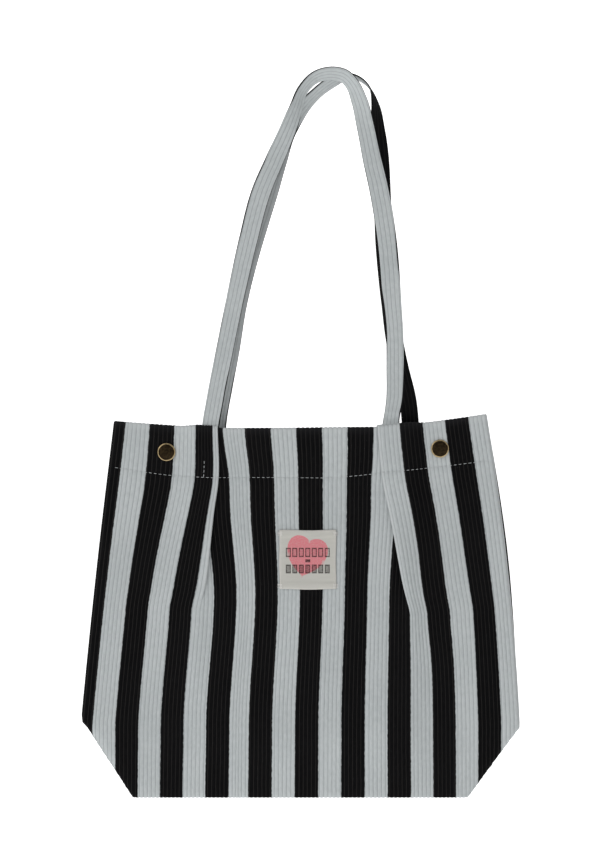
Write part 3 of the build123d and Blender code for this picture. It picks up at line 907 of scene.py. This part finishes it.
BACK_STATIONS = [
    (-101, -342, 7.4, 0, 7.4), (-101, -322, 7.4, 0, 7.4), (-100.7, -303, 7.4, 0, 7.5),
    (-94.6, -265, 6.9, 0, 7.5), (-89.3, -237, 6.4, 0, 7.5), (-82.6, -196, 5.7, 0, 7.5),
    (-72.3, -154, 5, 0, 7.5), (-64, -126, 4.7, 0, 7.5), (-55.4, -98, 4.3, 0, 7.5),
    (-47.6, -70.5, 4.2, 0, 7.5), (-39, -43.5, 4.6, 10, 7.5), (-31, -30.5, 5, 32, 7.5),
    (-22.3, -19.3, 5.5, 50, 7.5), (-13.6, -10.6, 5.8, 56, 7.5), (-5, -3.8, 6, 56, 7.5),
    (3, 0.8, 6, 62, 7.5), (13, 4.0, 6, 80, 7.5), (24, 0.8, 6, 88, 7.5), (32.5, -7, 5.8, 95, 7.5),
    (37.2, -21.8, 5, 118, 7.5), (39, -44, 4, 155, 7.5), (41.6, -70, 4, 176, 7.5),
    (43, -98, 4.3, 180, 7.5), (44.4, -140, 4.9, 180, 7.5), (49.8, -196, 5.7, 180, 7.5),
    (53, -222, 6.1, 180, 7.5), (58.8, -251, 6.6, 180, 7.5), (65.5, -279, 7.1, 180, 7.5),
    (67.8, -303, 7.4, 180, 7.5), (68, -322, 7.4, 180, 7.4), (68, -342, 7.4, 180, 7.4)]
STRAP_THICK = 1.7
STRAP_HALF = 7.5             # half the width that the section and its cloth coordinates are made for
STRAP_RIM = -0.15            # black along each edge of the light face; below 0, light turns the edge
STRAP_STEP = 2.2


def through(stations, step):
    """A smooth line through the stations, sampled at even steps, by cubic Hermite spans."""
    points = np.array(stations, float)
    spans = np.linalg.norm(np.diff(points[:, :3], axis=0), axis=1)
    along = np.concatenate([[0], np.cumsum(spans)])
    slopes = np.gradient(points, along, axis=0)
    wanted = np.linspace(0, along[-1], int(along[-1] / step))
    index = np.clip(np.searchsorted(along, wanted, side="right") - 1, 0, len(spans) - 1)
    t = ((wanted - along[index]) / spans[index])[:, None]
    span = spans[index][:, None]
    start, end = points[index], points[index + 1]
    rise0, rise1 = slopes[index] * span, slopes[index + 1] * span
    cubes = (2 * t**3 - 3 * t**2 + 1) * start + (t**3 - 2 * t**2 + t) * rise0
    return wanted, cubes + (-2 * t**3 + 3 * t**2) * end + (t**3 - t**2) * rise1


def strap_section():
    """The folded strip's outline: (across, up, distance round) for a strap 2 across and 1 thick."""
    half = STRAP_HALF
    face = np.linspace(-1, 1, 25)
    ribs = 0.22 * np.abs(np.sin(math.pi * (face * half + 0.6) / RIB)) ** 0.6
    points = [(a * 0.955, STRAP_THICK / 2 - 0.25 + r, a * half) for a, r in zip(face, ribs)]
    points += [(0.993, 0.36, half + 0.5), (1.0, 0.0, half + 0.85), (0.993, -0.36, half + 1.2)]
    points += [(a * 0.955, -(STRAP_THICK / 2 - 0.25 + r), half * 2 + 1.7 - a * half)
               for a, r in zip(face[::-1], ribs[::-1])]
    points += [(-0.993, -0.36, 3 * half + 2.2), (-1.0, 0.0, 3 * half + 2.55),
               (-0.993, 0.36, 3 * half + 2.9)]
    return points, 4 * half + 3.4


def strap_ways(line):
    """Along a strap's line: its centre, the way across its face and the way its face looks."""
    centre = np.stack([line[:, 0], line[:, 2], line[:, 1]], axis=1)
    tangent = unit(np.gradient(centre, axis=0))
    outward = unit(np.cross(tangent, np.array([0.0, 1.0, 0.0])))
    front = np.cross(tangent, outward)
    front *= np.where(front[:, 1:2] > 0, -1, 1)
    tilt = np.radians(line[:, 3])[:, None]
    width_way = np.cos(tilt) * outward + np.sin(tilt) * front
    face_way = np.cos(tilt) * front - np.sin(tilt) * outward
    return centre, width_way, face_way


def strap_grid(along, line, section, crease_at):
    """The section carried along the line, with soft creases where the strap is pinched.

    Each crease is (millimetres from the start, or from the end if negative, height, reach).
    """
    centre, width_way, face_way = strap_ways(line)
    half = line[:, 4][:, None]
    sideways = 0.35 * np.sin(along / 11.0) + 0.25 * np.sin(along / 5.3 + 1.0)
    lift = sum(height * np.exp(-((along - place % along[-1]) / reach) ** 2)
               for place, height, reach in crease_at)
    rows = []
    for across, up, _ in section:
        bow = (sideways[:, None] * across ** 2) * 0.6 + lift[:, None]
        rows.append(centre + width_way * half * across + face_way * (up + bow))
    return np.stack(rows, axis=1)


def make_strap(name, stations, crease_at):
    """A ribbed ribbon along its stations, closed at both ends, and its length."""
    along, line = through(stations, STRAP_STEP)
    section, whole_round = strap_section()
    grid = strap_grid(along, line, section, crease_at)
    count, around = grid.shape[:2]
    rounds = [entry[2] for entry in section] + [whole_round]
    quads, corners_uv = [], []
    for row in range(count - 1):
        for column in range(around):
            following = (column + 1) % around
            quads.append((row * around + column, row * around + following,
                          (row + 1) * around + following, (row + 1) * around + column))
            corners_uv += [(rounds[column], along[row]), (rounds[column + 1], along[row]),
                           (rounds[column + 1], along[row + 1]), (rounds[column], along[row + 1])]
    ends = [tuple(range(around))[::-1], tuple((count - 1) * around + column for column in range(around))]
    mesh = bpy.data.meshes.new(name)
    mesh.from_pydata((grid.reshape(-1, 3) * MM).tolist(), [], quads + ends)
    mesh.polygons.foreach_set("use_smooth", [True] * len(quads) + [False, False])
    layer = mesh.uv_layers.new(name="cloth")
    flat = np.concatenate([np.array(corners_uv), np.zeros((2 * around, 2))]) * MM
    layer.data.foreach_set("uv", flat.astype(np.float32).ravel())
    work = bmesh.new()
    work.from_mesh(mesh)
    bmesh.ops.recalc_face_normals(work, faces=work.faces)
    work.to_mesh(mesh)
    work.free()
    made = in_scene(name, mesh)
    print(name, "is", round(along[-1]), "mm long,", triangles(made), "triangles")
    return made, along[-1]


# %% Two straps
FRONT_CREASES = [(47, -0.4, 3), (-52, 0.9, 3.0), (-46.5, -2.2, 2.3), (-41, 0.5, 2.5), (560, 0.5, 9)]
BACK_CREASES = [(46, -0.5, 3), (640, 0.6, 3)]
front_strap, front_length = make_strap("front_strap_cloth", FRONT_STATIONS, FRONT_CREASES)
back_strap, back_length = make_strap("back_strap_cloth", BACK_STATIONS, BACK_CREASES)

# %% Strap cloth


def make_strap_corduroy():
    """Light on the front of the folded strip, black over its edges and behind."""
    made, tree, surface = new_material("strap_corduroy", 0.95, sheen=0.01)
    cloth = cloth_coordinates(tree)
    drift = wander(tree, cloth, 0.011, 7.0, 2.0, (0.0, 1.0, 1.0))
    from_middle = calc(tree, "ABSOLUTE", calc(tree, "ADD", split(tree, cloth)[0], drift))
    light_edge = (STRAP_HALF - STRAP_RIM) * MM
    light_share = ramp(tree, from_middle, light_edge + 0.00035, light_edge - 0.00035)
    moved = add_node(tree, "ShaderNodeMapping", {"Location": (0.0006, 0, 0), "Vector": cloth})
    pile = use_group(tree, pile_group,
                     {"Cloth": moved.outputs["Vector"], "Rib Pitch": RIB * MM, "Wear": 0.2})
    edge_wear = ramp(tree, from_middle, light_edge - 0.001, light_edge + 0.001)
    worn = calc(tree, "MULTIPLY", edge_wear, 0.25)
    dress_pile(tree, surface, pile, pile_colours(tree, pile, worn, light_share))
    return made


strap_corduroy = make_strap_corduroy()
for strap, side, length in ((front_strap, "front", front_length), (back_strap, "back", back_length)):
    strap.data.materials.append(strap_corduroy)
    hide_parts(f"{side}_strap", f"{side}_strap_ends")
    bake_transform(strap)

# %% [markdown]
# ## The sewn label
# The label is a square of plain-woven cotton with its top and bottom edges folded under, so it is
# thicker there. It lies on the belly's slope, over the middle stripe, and follows the panel's own
# surface. Its print is only colour: a plain heart from the classic heart curve, and three rows of
# plain blocks, worked out from the label's own coordinates.

# %% Label cloth
LABEL_THICK = 0.75
LABEL_FOLD = 6.0             # depth of the folded edges
LABEL_GRID = 53
label_low, label_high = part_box("label_patch")


def over_cloth(across, down, facing, lift, step=0.4):
    """Points over the crests of a panel, from places on the flat cloth, in millimetres."""
    across = np.asarray(across, float)
    down = np.asarray(down, float) + 0 * across
    here, _ = panel_surface(across, down, 0 * across)
    right, _ = panel_surface(across + step, down, 0 * across)
    below, _ = panel_surface(across, down + step, 0 * across)
    normal = unit(np.cross(below - here, right - here))
    points = here + normal * (CLOTH / 2 + np.asarray(lift)[..., None])
    points[..., 1] *= -facing
    return points


def over_front(x, z, lift):
    """Points over the middle part of the front panel, from places on the bag."""
    across = (x - middle_x(z)) / middle_scale(z) + STRIPE / 2
    return over_cloth(across, MOUTH_Z - z - 0.35, -1, lift, step=0.8)


def make_label():
    """A thin closed sheet over the front panel."""
    x0, x1 = label_low.x / MM, label_high.x / MM
    z0, z1 = label_low.z / MM, label_high.z / MM
    share = np.linspace(0, 1, LABEL_GRID)
    side, down = np.meshgrid(share, share)
    x = x0 + (x1 - x0) * side + 0.25 * np.sin(down * 9.0) * (np.abs(side - 0.5) > 0.49)
    z = z1 + (z0 - z1) * down + 0.3 * np.sin(side * 7.0 + 1) * (np.abs(down - 0.5) > 0.49)
    from_fold = (0.5 - np.abs(down - 0.5)) * (z1 - z0)
    from_edge = np.minimum(from_fold, (0.5 - np.abs(side - 0.5)) * (x1 - x0))
    folded = 0.45 * (1 - smooth((from_fold - LABEL_FOLD + 1) / 1.6))
    rounding = -0.35 * np.exp(-from_edge / 0.5)
    pillow = 0.35 * np.sin(math.pi * side) * np.sin(2 * math.pi * down + 0.5)
    outer = over_front(x, z, LABEL_THICK + 0.1 + folded + rounding + pillow * 0.5)
    under = over_front(x, z, 0.05 + 0 * x)
    count = LABEL_GRID ** 2
    quads = np.concatenate([grid_faces(LABEL_GRID, LABEL_GRID),
                            grid_faces(LABEL_GRID, LABEL_GRID, count, True),
                            rim_faces(LABEL_GRID, LABEL_GRID, count, False)])
    uv = np.stack([x - (x0 + x1) / 2, z - (z0 + z1) / 2], axis=-1).reshape(-1, 2) * MM
    wear = np.clip(np.exp(-from_edge / 1.2), 0, 1).ravel()
    points = np.concatenate([outer.reshape(-1, 3), under.reshape(-1, 3)]) * MM
    made = mesh_from("sewn_label", points, quads, np.concatenate([uv, uv]),
                     np.concatenate([wear, wear]), np.zeros(len(quads), np.int32))
    print("label", round(x1 - x0, 1), "by", round(z1 - z0, 1), "mm")
    return made


label = make_label()

# %% Label print
HEART_SIZE = 0.0155          # metres to one unit of the heart curve
HEART_TILT = math.radians(12)
HEART_SHIFT = 0.12           # off the label's middle, in units of the heart curve
# Each row: height of its middle, half its length, half its height and how hollow its blocks are
INK_ROWS = ((0.0062, 0.0195, 0.0040, 0.8),
            (-0.0010, 0.0026, 0.0013, 0.0),
            (-0.0080, 0.0193, 0.0038, 0.35))
BLOCK = 0.0056               # pitch of the plain blocks in a row


def heart_share(tree, cloth):
    """1 inside the heart (x^2 + y^2 - 1)^3 = x^2 y^3, tilted and a little worn."""
    placed = add_node(tree, "ShaderNodeMapping",
                      {"Rotation": (0, 0, HEART_TILT), "Scale": (1 / HEART_SIZE,) * 3,
                       "Location": (HEART_SHIFT, 0.0, 0.0), "Vector": cloth})
    x, y, _ = split(tree, placed.outputs["Vector"])
    square_x = calc(tree, "MULTIPLY", x, x)
    square_y = calc(tree, "MULTIPLY", y, y)
    ring = calc(tree, "SUBTRACT", calc(tree, "ADD", square_x, square_y), 1.0)
    cubed = calc(tree, "MULTIPLY", calc(tree, "MULTIPLY", ring, ring), ring)
    lobe = calc(tree, "MULTIPLY", square_x, calc(tree, "MULTIPLY", square_y, y))
    return ramp(tree, calc(tree, "SUBTRACT", lobe, cubed), -0.004, 0.006)


def bar_share(tree, cloth):
    """1 inside any of the plain printed blocks, which stand in three level rows."""
    x, y, _ = split(tree, cloth)
    place = calc(tree, "FRACT", calc(tree, "ADD", calc(tree, "DIVIDE", x, BLOCK), 0.5))
    from_block = calc(tree, "ABSOLUTE", calc(tree, "SUBTRACT", place, 0.5))
    block = ramp(tree, from_block, 0.42, 0.36)
    inside_block = ramp(tree, from_block, 0.28, 0.20)
    total = 0.0
    for middle, half_length, half_height, hollow in INK_ROWS:
        ends = ramp(tree, calc(tree, "ABSOLUTE", x), half_length + 0.0002, half_length - 0.0002)
        along = calc(tree, "MULTIPLY", ends, block)
        high_part = calc(tree, "ABSOLUTE", calc(tree, "SUBTRACT", y, middle))
        tall = ramp(tree, high_part, half_height + 0.0002, half_height - 0.0002)
        within = ramp(tree, high_part, half_height - 0.0009, half_height - 0.0013)
        opened = calc(tree, "MULTIPLY", calc(tree, "MULTIPLY", inside_block, within), hollow)
        solid = calc(tree, "MULTIPLY", along, tall)
        inked = calc(tree, "MULTIPLY", solid, calc(tree, "SUBTRACT", 1.0, opened))
        total = calc(tree, "MAXIMUM", total, inked)
    return total


# %% Label colours
CREAM = (0.465, 0.463, 0.424, 1)
CREAM_SLUB = (0.38, 0.378, 0.355, 1)
# painted highlight on the crests of the weave
CREAM_CREST_HIGHLIGHT = (0.56, 0.54, 0.50, 1)
CREAM_EDGE = (0.60, 0.58, 0.55, 1)
HEART_PINK = (0.57, 0.175, 0.20, 1)
BLOCK_INK = (0.02, 0.016, 0.016, 1)


def make_label_cloth():
    """Cream cotton, with the worn print over it."""
    made, tree, surface = new_material("label_cloth", 0.85)
    cloth = cloth_coordinates(tree)
    weave = use_group(tree, weave_group, {"Cloth": cloth, "Pitch": 0.00055})
    cream = mix_colour(tree, weave["Slub"], CREAM, CREAM_SLUB)
    # Painted highlight: the weave's crests are lightened
    cream = mix_colour(tree, calc(tree, "MULTIPLY", weave["Height"], 0.4), cream, CREAM_CREST_HIGHLIGHT)
    cream = mix_colour(tree, calc(tree, "MULTIPLY", worn_places(tree), 0.5), cream, CREAM_EDGE)
    rubbed = ramp(tree, noise(tree, cloth, 900.0, 2.0), 0.3, 0.62, 0.72, 1.0)
    pink = calc(tree, "MULTIPLY", heart_share(tree, cloth), rubbed)
    printed = mix_colour(tree, pink, cream, HEART_PINK)
    ink = calc(tree, "MULTIPLY", bar_share(tree, cloth), calc(tree, "MULTIPLY", rubbed, 0.92))
    printed = mix_colour(tree, ink, printed, BLOCK_INK)
    roughness = ramp(tree, weave["Slub"], 0.3, 0.7, 0.75, 0.9)
    dress(tree, surface, printed, roughness, weave["Height"], 0.6, 0.00025)
    return made


label.data.materials.append(make_label_cloth())
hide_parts("label_patch")
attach(label, "front_half")

# %% [markdown]
# ## Stitches
# Thread shows as a row of short beads, each diving back into the cloth. One Geometry Nodes tree
# makes them all: it takes a line of points, spaces small beads along it and turns each the way the
# line runs. The lines themselves are read off the panels' surface, so the rows climb over the
# pleats as real topstitching does.

# %% Stitch tree
STITCH_SIZES = {"Pitch": 0.0042, "Length": 0.0031, "Thread": 0.0006}


def growing_tree(name, sizes, result, seed=None):
    """An empty tree: a line, named sizes and a finish go in, and one result comes out."""
    tree = bpy.data.node_groups.new(name, "GeometryNodeTree")
    tree.interface.new_socket("Line", in_out="INPUT", socket_type="NodeSocketGeometry")
    for size, value in sizes.items():
        socket = tree.interface.new_socket(size, in_out="INPUT", socket_type="NodeSocketFloat")
        socket.default_value = value
    tree.interface.new_socket("Finish", in_out="INPUT", socket_type="NodeSocketMaterial")
    if seed is not None:
        socket = tree.interface.new_socket("Seed", in_out="INPUT", socket_type="NodeSocketInt")
        socket.default_value = seed
    tree.interface.new_socket(result, in_out="OUTPUT", socket_type="NodeSocketGeometry")
    return tree, tree.nodes.new("NodeGroupInput").outputs, tree.nodes.new("NodeGroupOutput").inputs


def even_line(tree, given):
    """The line as a curve, with a point at every pitch."""
    curve = add_node(tree, "GeometryNodeMeshToCurve", {0: given["Line"]})
    return add_node(tree, "GeometryNodeResampleCurve",
                    {"Curve": curve.outputs[0], "Length": given["Pitch"]}, mode="LENGTH").outputs[0]


def finish_tree(tree, given, geometry, result):
    """Real geometry with its material, handed to the tree's output."""
    real = add_node(tree, "GeometryNodeRealizeInstances", {0: geometry})
    finish = add_node(tree, "GeometryNodeSetMaterial",
                      {"Geometry": real.outputs[0], "Material": given["Finish"]})
    tree.links.new(finish.outputs[0], result)


def make_stitch_tree():
    """Line in, stitches out: one small bead to a point, each a little different."""
    tree, given, wanted = growing_tree("stitch_row", STITCH_SIZES, "Stitches", seed=3)
    bead = add_node(tree, "GeometryNodeMeshUVSphere", {"Segments": 6, "Rings": 5, "Radius": 0.5})
    rounded = add_node(tree, "GeometryNodeSetShadeSmooth", {0: bead.outputs["Mesh"]})
    sizes = add_node(tree, "ShaderNodeCombineXYZ",
                     {"X": given["Length"], "Y": given["Thread"], "Z": given["Thread"]})
    chance = add_node(tree, "FunctionNodeRandomValue",
                      {"Min": (0.88, 0.9, 0.9), "Max": (1.08, 1.1, 1.1), "Seed": given["Seed"]},
                      data_type="FLOAT_VECTOR")
    scaled = add_node(tree, "ShaderNodeVectorMath", {0: sizes.outputs[0], 1: chance.outputs[0]},
                      operation="MULTIPLY")
    tangent = add_node(tree, "GeometryNodeInputTangent")
    aim = add_node(tree, "FunctionNodeAlignRotationToVector", {"Vector": tangent.outputs[0]}, axis="X")
    placed = add_node(tree, "GeometryNodeInstanceOnPoints",
                      {"Points": even_line(tree, given), "Instance": rounded.outputs[0],
                       "Rotation": aim.outputs[0], "Scale": scaled.outputs[0]})
    finish_tree(tree, given, placed.outputs[0], wanted["Stitches"])
    return tree


stitch_tree = make_stitch_tree()


def line_object(name, lines):
    """A mesh of bare edges: each line is a list of points in millimetres."""
    points, edges = [], []
    for line in lines:
        edges += [(len(points) + i, len(points) + i + 1) for i in range(len(line) - 1)]
        points += [tuple(float(value) * MM for value in point) for point in line]
    mesh = bpy.data.meshes.new(name + "_line")
    mesh.from_pydata(points, edges, [])
    return in_scene(name + "_line", mesh)


def grow(name, tree, carrier, values):
    """Run a Geometry Nodes tree on a carrier, keep its result as a plain mesh, drop the carrier."""
    modifier = carrier.modifiers.new("grow", "NODES")
    modifier.node_group = tree
    for item in tree.interface.items_tree:
        if item.item_type == "SOCKET" and item.in_out == "INPUT" and item.name in values:
            modifier[item.identifier] = values[item.name]
    depsgraph = bpy.context.evaluated_depsgraph_get()
    mesh = bpy.data.meshes.new_from_object(carrier.evaluated_get(depsgraph), depsgraph=depsgraph)
    made = in_scene(name, mesh)
    bpy.data.objects.remove(carrier)
    print(name, triangles(made), "triangles")
    return made


# %% [markdown]
# ### Thread
# Polyester thread is two plies twisted together. A diagonal wave in object coordinates gives the
# twist, and a little noise keeps one stitch from looking like the next.

# %% Thread material


def make_thread(name, colour, dark):
    """Twisted thread, between a lit ply and the dark between plies."""
    made, tree, surface = new_material(name, 0.6, sheen=0.1)
    place = object_coordinates(tree)
    x, y, z = split(tree, place)
    slant = calc(tree, "MULTIPLY", calc(tree, "ADD", calc(tree, "ADD", x, z), y), 7000.0)
    twist = calc(tree, "ADD", calc(tree, "MULTIPLY", calc(tree, "SINE", slant), 0.5), 0.5)
    shade = mix_colour(tree, calc(tree, "MULTIPLY", twist, 0.6), colour, dark)
    shade = mix_colour(tree, ramp(tree, noise(tree, place, 300.0), 0.4, 0.7, 0.0, 0.4), shade, dark)
    dress(tree, surface, shade, ramp(tree, twist, 0.0, 1.0, 0.5, 0.75), twist, 0.5, 0.0001)
    return made


grey_thread = make_thread("grey_thread", (0.44, 0.46, 0.46, 1), (0.31, 0.325, 0.33, 1))
white_thread = make_thread("white_thread", (0.72, 0.71, 0.69, 1), (0.5, 0.49, 0.47, 1))

# %% Hem rows and strap tacks
HEM_ENDS = 4.0               # the rows stop short of the bag's sides
THREAD_LIFT = 0.12


def hem_lines(facing):
    """The hem's row in three runs: left part, middle and right part, which lie one over the other."""
    side = TUCK + EDGE_TURN + HEM_ENDS
    level = MOUTH_Z - HEM_DEPTH
    left_in = left_pleat.crease + left_pleat.width(level) + 0.5
    right_in = right_pleat.crease - right_pleat.width(level) - 0.5
    runs = ((CLOTH_LEFT + side, left_pleat.crease - 1.2), (left_in, right_in),
            (right_pleat.crease + 1.2, CLOTH_RIGHT - side))
    lines = []
    for start, end in runs:
        across = np.arange(start, end, 1.6)
        down = hem_depth(across) + 0.25 * np.sin(across / 23)
        lines.append(over_cloth(across, down, facing, THREAD_LIFT))
    return lines


def tack_line(x, facing, pleat, depth_from, depth_to):
    """An upright row on the part of a panel beyond a pleat, at a given x."""
    across = np.linspace(cloth_edge(pleat), pleat.crease, 400)
    places = cloth_x(across, MOUTH_Z - depth_to, 0 * across)
    found = across[np.argmin(np.abs(places - x))]
    down = np.linspace(depth_from, depth_to, 12)
    return over_cloth(found + 0 * down, down, facing, THREAD_LIFT)


stitches = {"Pitch": 0.0042, "Length": 0.0030, "Thread": 0.00045, "Finish": grey_thread}
for side, facing in (("front", -1), ("back", 1)):
    hem = grow(f"{side}_hem_stitches", stitch_tree, line_object(f"{side}_hem", hem_lines(facing)), stitches)
    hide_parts(f"{side}_hem_thread")
    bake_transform(hem)
    tack_low, tack_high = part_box(f"{side}_strap_tacks")
    rows = [tack_line(tack_low.x / MM + 0.3, facing, left_pleat, 28.5, 39.5),
            tack_line(tack_high.x / MM + 2.3, facing, right_pleat, 24.0, 42.0)]
    tacks = grow(f"{side}_strap_tack_stitches", stitch_tree, line_object(f"{side}_tack", rows),
                 {**stitches, "Pitch": 0.0034, "Length": 0.0029})
    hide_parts(f"{side}_strap_tacks")
    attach(tacks, f"{side}_half")

# %% Label corner tacks
LABEL_TACK_INSET = 1.7


def label_tack_lines():
    """Three short stitches in from each corner of the label, along its side edges."""
    lines = []
    for x, inwards in ((label_low.x / MM, 1), (label_high.x / MM, -1)):
        for z in (label_low.z / MM + 3.0, label_high.z / MM - 3.0):
            across = np.array([x - inwards * 0.9, x + inwards * LABEL_TACK_INSET])
            for row in (-1.2, 0.0, 1.2):
                lines.append(over_front(across, np.array([z + row] * 2), np.array([0.35, 1.35])))
    return lines


label_tacks = grow("label_corner_stitches", stitch_tree, line_object("label_tack", label_tack_lines()),
                   {"Pitch": 0.0013, "Length": 0.0019, "Thread": 0.0007, "Finish": white_thread})
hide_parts("label_tacks")
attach(label_tacks, "front_half")

# %% [markdown]
# ## Overlocked seams
# Inside the bag each seam's raw edges are bound together by overlocking: a narrow band of cloth
# wrapped in loops of thread that zigzag from its edge to its needle line. A second tree makes the
# thread: it resamples a seam line, shifts every other point sideways and runs a thin tube along it.
# The bands lie in the seams' plane.

# %% Overlock tree
OVERLOCK_SIZES = {"Pitch": 0.0012, "Width": 0.0045, "Thread": 0.0005}


def make_overlock_tree():
    """Line in, zigzag thread out: every other point moves sideways, and a tube follows them."""
    tree, given, wanted = growing_tree("overlock_thread", OVERLOCK_SIZES, "Threads")
    index = add_node(tree, "GeometryNodeInputIndex")
    reach = calc(tree, "MULTIPLY", calc(tree, "MODULO", index.outputs[0], 2.0), given["Width"])
    tangent = add_node(tree, "GeometryNodeInputTangent")
    across = add_node(tree, "ShaderNodeVectorMath", {0: tangent.outputs[0], 1: (0, 1, 0)},
                      operation="CROSS_PRODUCT")
    shift = add_node(tree, "ShaderNodeVectorMath", {0: across.outputs[0], "Scale": reach},
                     operation="SCALE")
    moved = add_node(tree, "GeometryNodeSetPosition",
                     {"Geometry": even_line(tree, given), "Offset": shift.outputs[0]})
    ring = add_node(tree, "GeometryNodeCurvePrimitiveCircle",
                    {"Resolution": 5, "Radius": calc(tree, "MULTIPLY", given["Thread"], 0.5)})
    tube = add_node(tree, "GeometryNodeCurveToMesh",
                    {"Curve": moved.outputs[0], "Profile Curve": ring.outputs[0], "Fill Caps": True})
    finish_tree(tree, given, tube.outputs[0], wanted["Threads"])
    return tree


overlock_tree = make_overlock_tree()

# %% Bands and their threads
# How far each band moves in from the bag's outline to the seam it binds, in millimetres
OVERLOCKS = {"left_side_overlock": (TUCK + 1.5, 0), "right_side_overlock": (-TUCK - 1.5, 0),
             "left_corner_overlock": (2.5, 2.0), "right_corner_overlock": (-2.5, 2.0),
             "bottom_overlock": (0, 2.5)}
OVERLOCK_FACE = 0.72         # from the seams' plane to the threads on each face of a band
OVERLOCK_WIDE = 0.85         # the zigzag's share of a band's width and of its length
OVERLOCK_LONG = 0.98
BAND_ROUNDING = 0.00045      # a band's edges longer than LONG_EDGE are rounded by this
LONG_EDGE = 0.006


def overlock_band(node):
    """The bound band of cloth, rebuilt from its CAD strip with soft long edges."""
    made = in_scene(node + "_band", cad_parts[node].data.copy())
    weld(made, 0.00001)
    work = bmesh.new()
    work.from_mesh(made.data)
    bmesh.ops.dissolve_limit(work, angle_limit=0.02, verts=work.verts, edges=work.edges)
    sharp = [edge for edge in work.edges if edge.calc_length() > LONG_EDGE]
    bmesh.ops.bevel(work, geom=sharp, offset=BAND_ROUNDING, segments=2, affect="EDGES")
    bmesh.ops.triangulate(work, faces=[face for face in work.faces if len(face.verts) > 4])
    work.to_mesh(made.data)
    work.free()
    made.data.materials.clear()
    return made


def strip_axes(node):
    """A CAD strip seen from the front: centre, way along, way aside, half length, half width."""
    points = np.array([vertex.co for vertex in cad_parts[node].data.vertices]) / MM
    flat = points[:, [0, 2]]
    centre = flat.mean(axis=0)
    _, _, ways = np.linalg.svd(flat - centre)
    along, aside = (flat - centre) @ ways[0], (flat - centre) @ ways[1]
    return centre, ways[0], ways[1], np.abs(along).max(), np.abs(aside).max()


def overlock_lines(node):
    """Zigzag guides on both faces of the strip, and the zigzag's width."""
    centre, way, aside, reach, half = strip_axes(node)
    lines = []
    for y in (-OVERLOCK_FACE, OVERLOCK_FACE):
        ends = [centre + way * (share * reach) - aside * (half * OVERLOCK_WIDE)
                for share in (-OVERLOCK_LONG, OVERLOCK_LONG)]
        lines.append([(x, y, z) for x, z in np.linspace(ends[0], ends[1], 40)])
    return lines, 2 * half * OVERLOCK_WIDE


bound_edge = make_thread("bound_edge", (0.42, 0.43, 0.43, 1), (0.22, 0.225, 0.23, 1))
for node, (inwards, upwards) in OVERLOCKS.items():
    band = overlock_band(node)
    band.data.materials.append(bound_edge)
    lines, width = overlock_lines(node)
    threads = grow(node + "_threads", overlock_tree, line_object(node, lines),
                   {"Pitch": 0.0013, "Width": width * MM, "Thread": 0.0005, "Finish": white_thread})
    for piece in (band, threads):
        piece.data.transform(Matrix.Translation((inwards * MM, 0, upwards * MM)))
        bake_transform(piece)
    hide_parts(node)

# %% [markdown]
# ## Snaps
# The metal pieces keep their CAD shapes. Antique brass is dark plating rubbed back to bright metal
# where hands and cloth touch it, which is the rim farthest from the snap's axis. The spring ring is
# bare drawn wire with fine lines along it.

# %% Metal materials
SNAP_CENTRES = [sum(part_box(f"{side}_snap_cap"), Vector()) / 2 for side in ("left", "right")]
RIM_START = 0.0066           # metres from the axis to where the plating is rubbed through
RIM_FADE = 0.0006
DARK_BRASS = (0.018, 0.0125, 0.007, 1)
BROWN_BRASS = (0.036, 0.025, 0.0128, 1)
BRIGHT_BRASS = (0.46, 0.35, 0.19, 1)


def from_snap_axis(tree, place):
    """Metres from the nearer snap's axis."""
    distances = []
    for centre in SNAP_CENTRES:
        flat_place = add_node(tree, "ShaderNodeVectorMath", {0: place, 1: (1, 0, 1)},
                              operation="MULTIPLY")
        apart = add_node(tree, "ShaderNodeVectorMath",
                         {0: flat_place.outputs[0], 1: (centre.x, 0, centre.z)}, operation="DISTANCE")
        distances.append(apart.outputs["Value"])
    return calc(tree, "MINIMUM", *distances)


def make_antique_brass():
    """Dark plating with a bright, uneven rim."""
    made, tree, surface = new_material("antique_brass", 0.4, metallic=1.0)
    place = object_coordinates(tree)
    cloud = noise(tree, place, 600.0, 4.0)
    uneven = calc(tree, "MULTIPLY", calc(tree, "SUBTRACT", cloud, 0.5), 0.0008)
    from_axis = calc(tree, "ADD", from_snap_axis(tree, place), uneven)
    dark = mix_colour(tree, ramp(tree, cloud, 0.35, 0.65), DARK_BRASS, BROWN_BRASS)
    colour = mix_colour(tree, ramp(tree, from_axis, RIM_START, RIM_START + RIM_FADE), dark, BRIGHT_BRASS)
    scratches = noise(tree, place, 1800.0, 2.0, (1.0, 1.0, 0.15))
    dress(tree, surface, colour, ramp(tree, cloud, 0.3, 0.7, 0.34, 0.52), scratches, 0.15, 0.00006)
    return made


def make_spring_wire():
    """Bare drawn steel."""
    made, tree, surface = new_material("spring_wire", 0.3, metallic=1.0)
    drawn = noise(tree, object_coordinates(tree), 4000.0, 2.0, (1.0, 0.1, 1.0))
    colour = mix_colour(tree, drawn, (0.45, 0.42, 0.36, 1), (0.62, 0.6, 0.55, 1))
    dress(tree, surface, colour, ramp(tree, drawn, 0.3, 0.7, 0.22, 0.4), drawn, 0.2, 0.00003)
    return made


antique_brass = make_antique_brass()
spring_wire = make_spring_wire()
for side in ("left", "right"):
    for piece in ("cap", "socket", "spring", "stud", "post"):
        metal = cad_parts[f"{side}_snap_{piece}"]
        metal.data.materials.clear()
        metal.data.materials.append(spring_wire if piece == "spring" else antique_brass)
print("snaps finished")
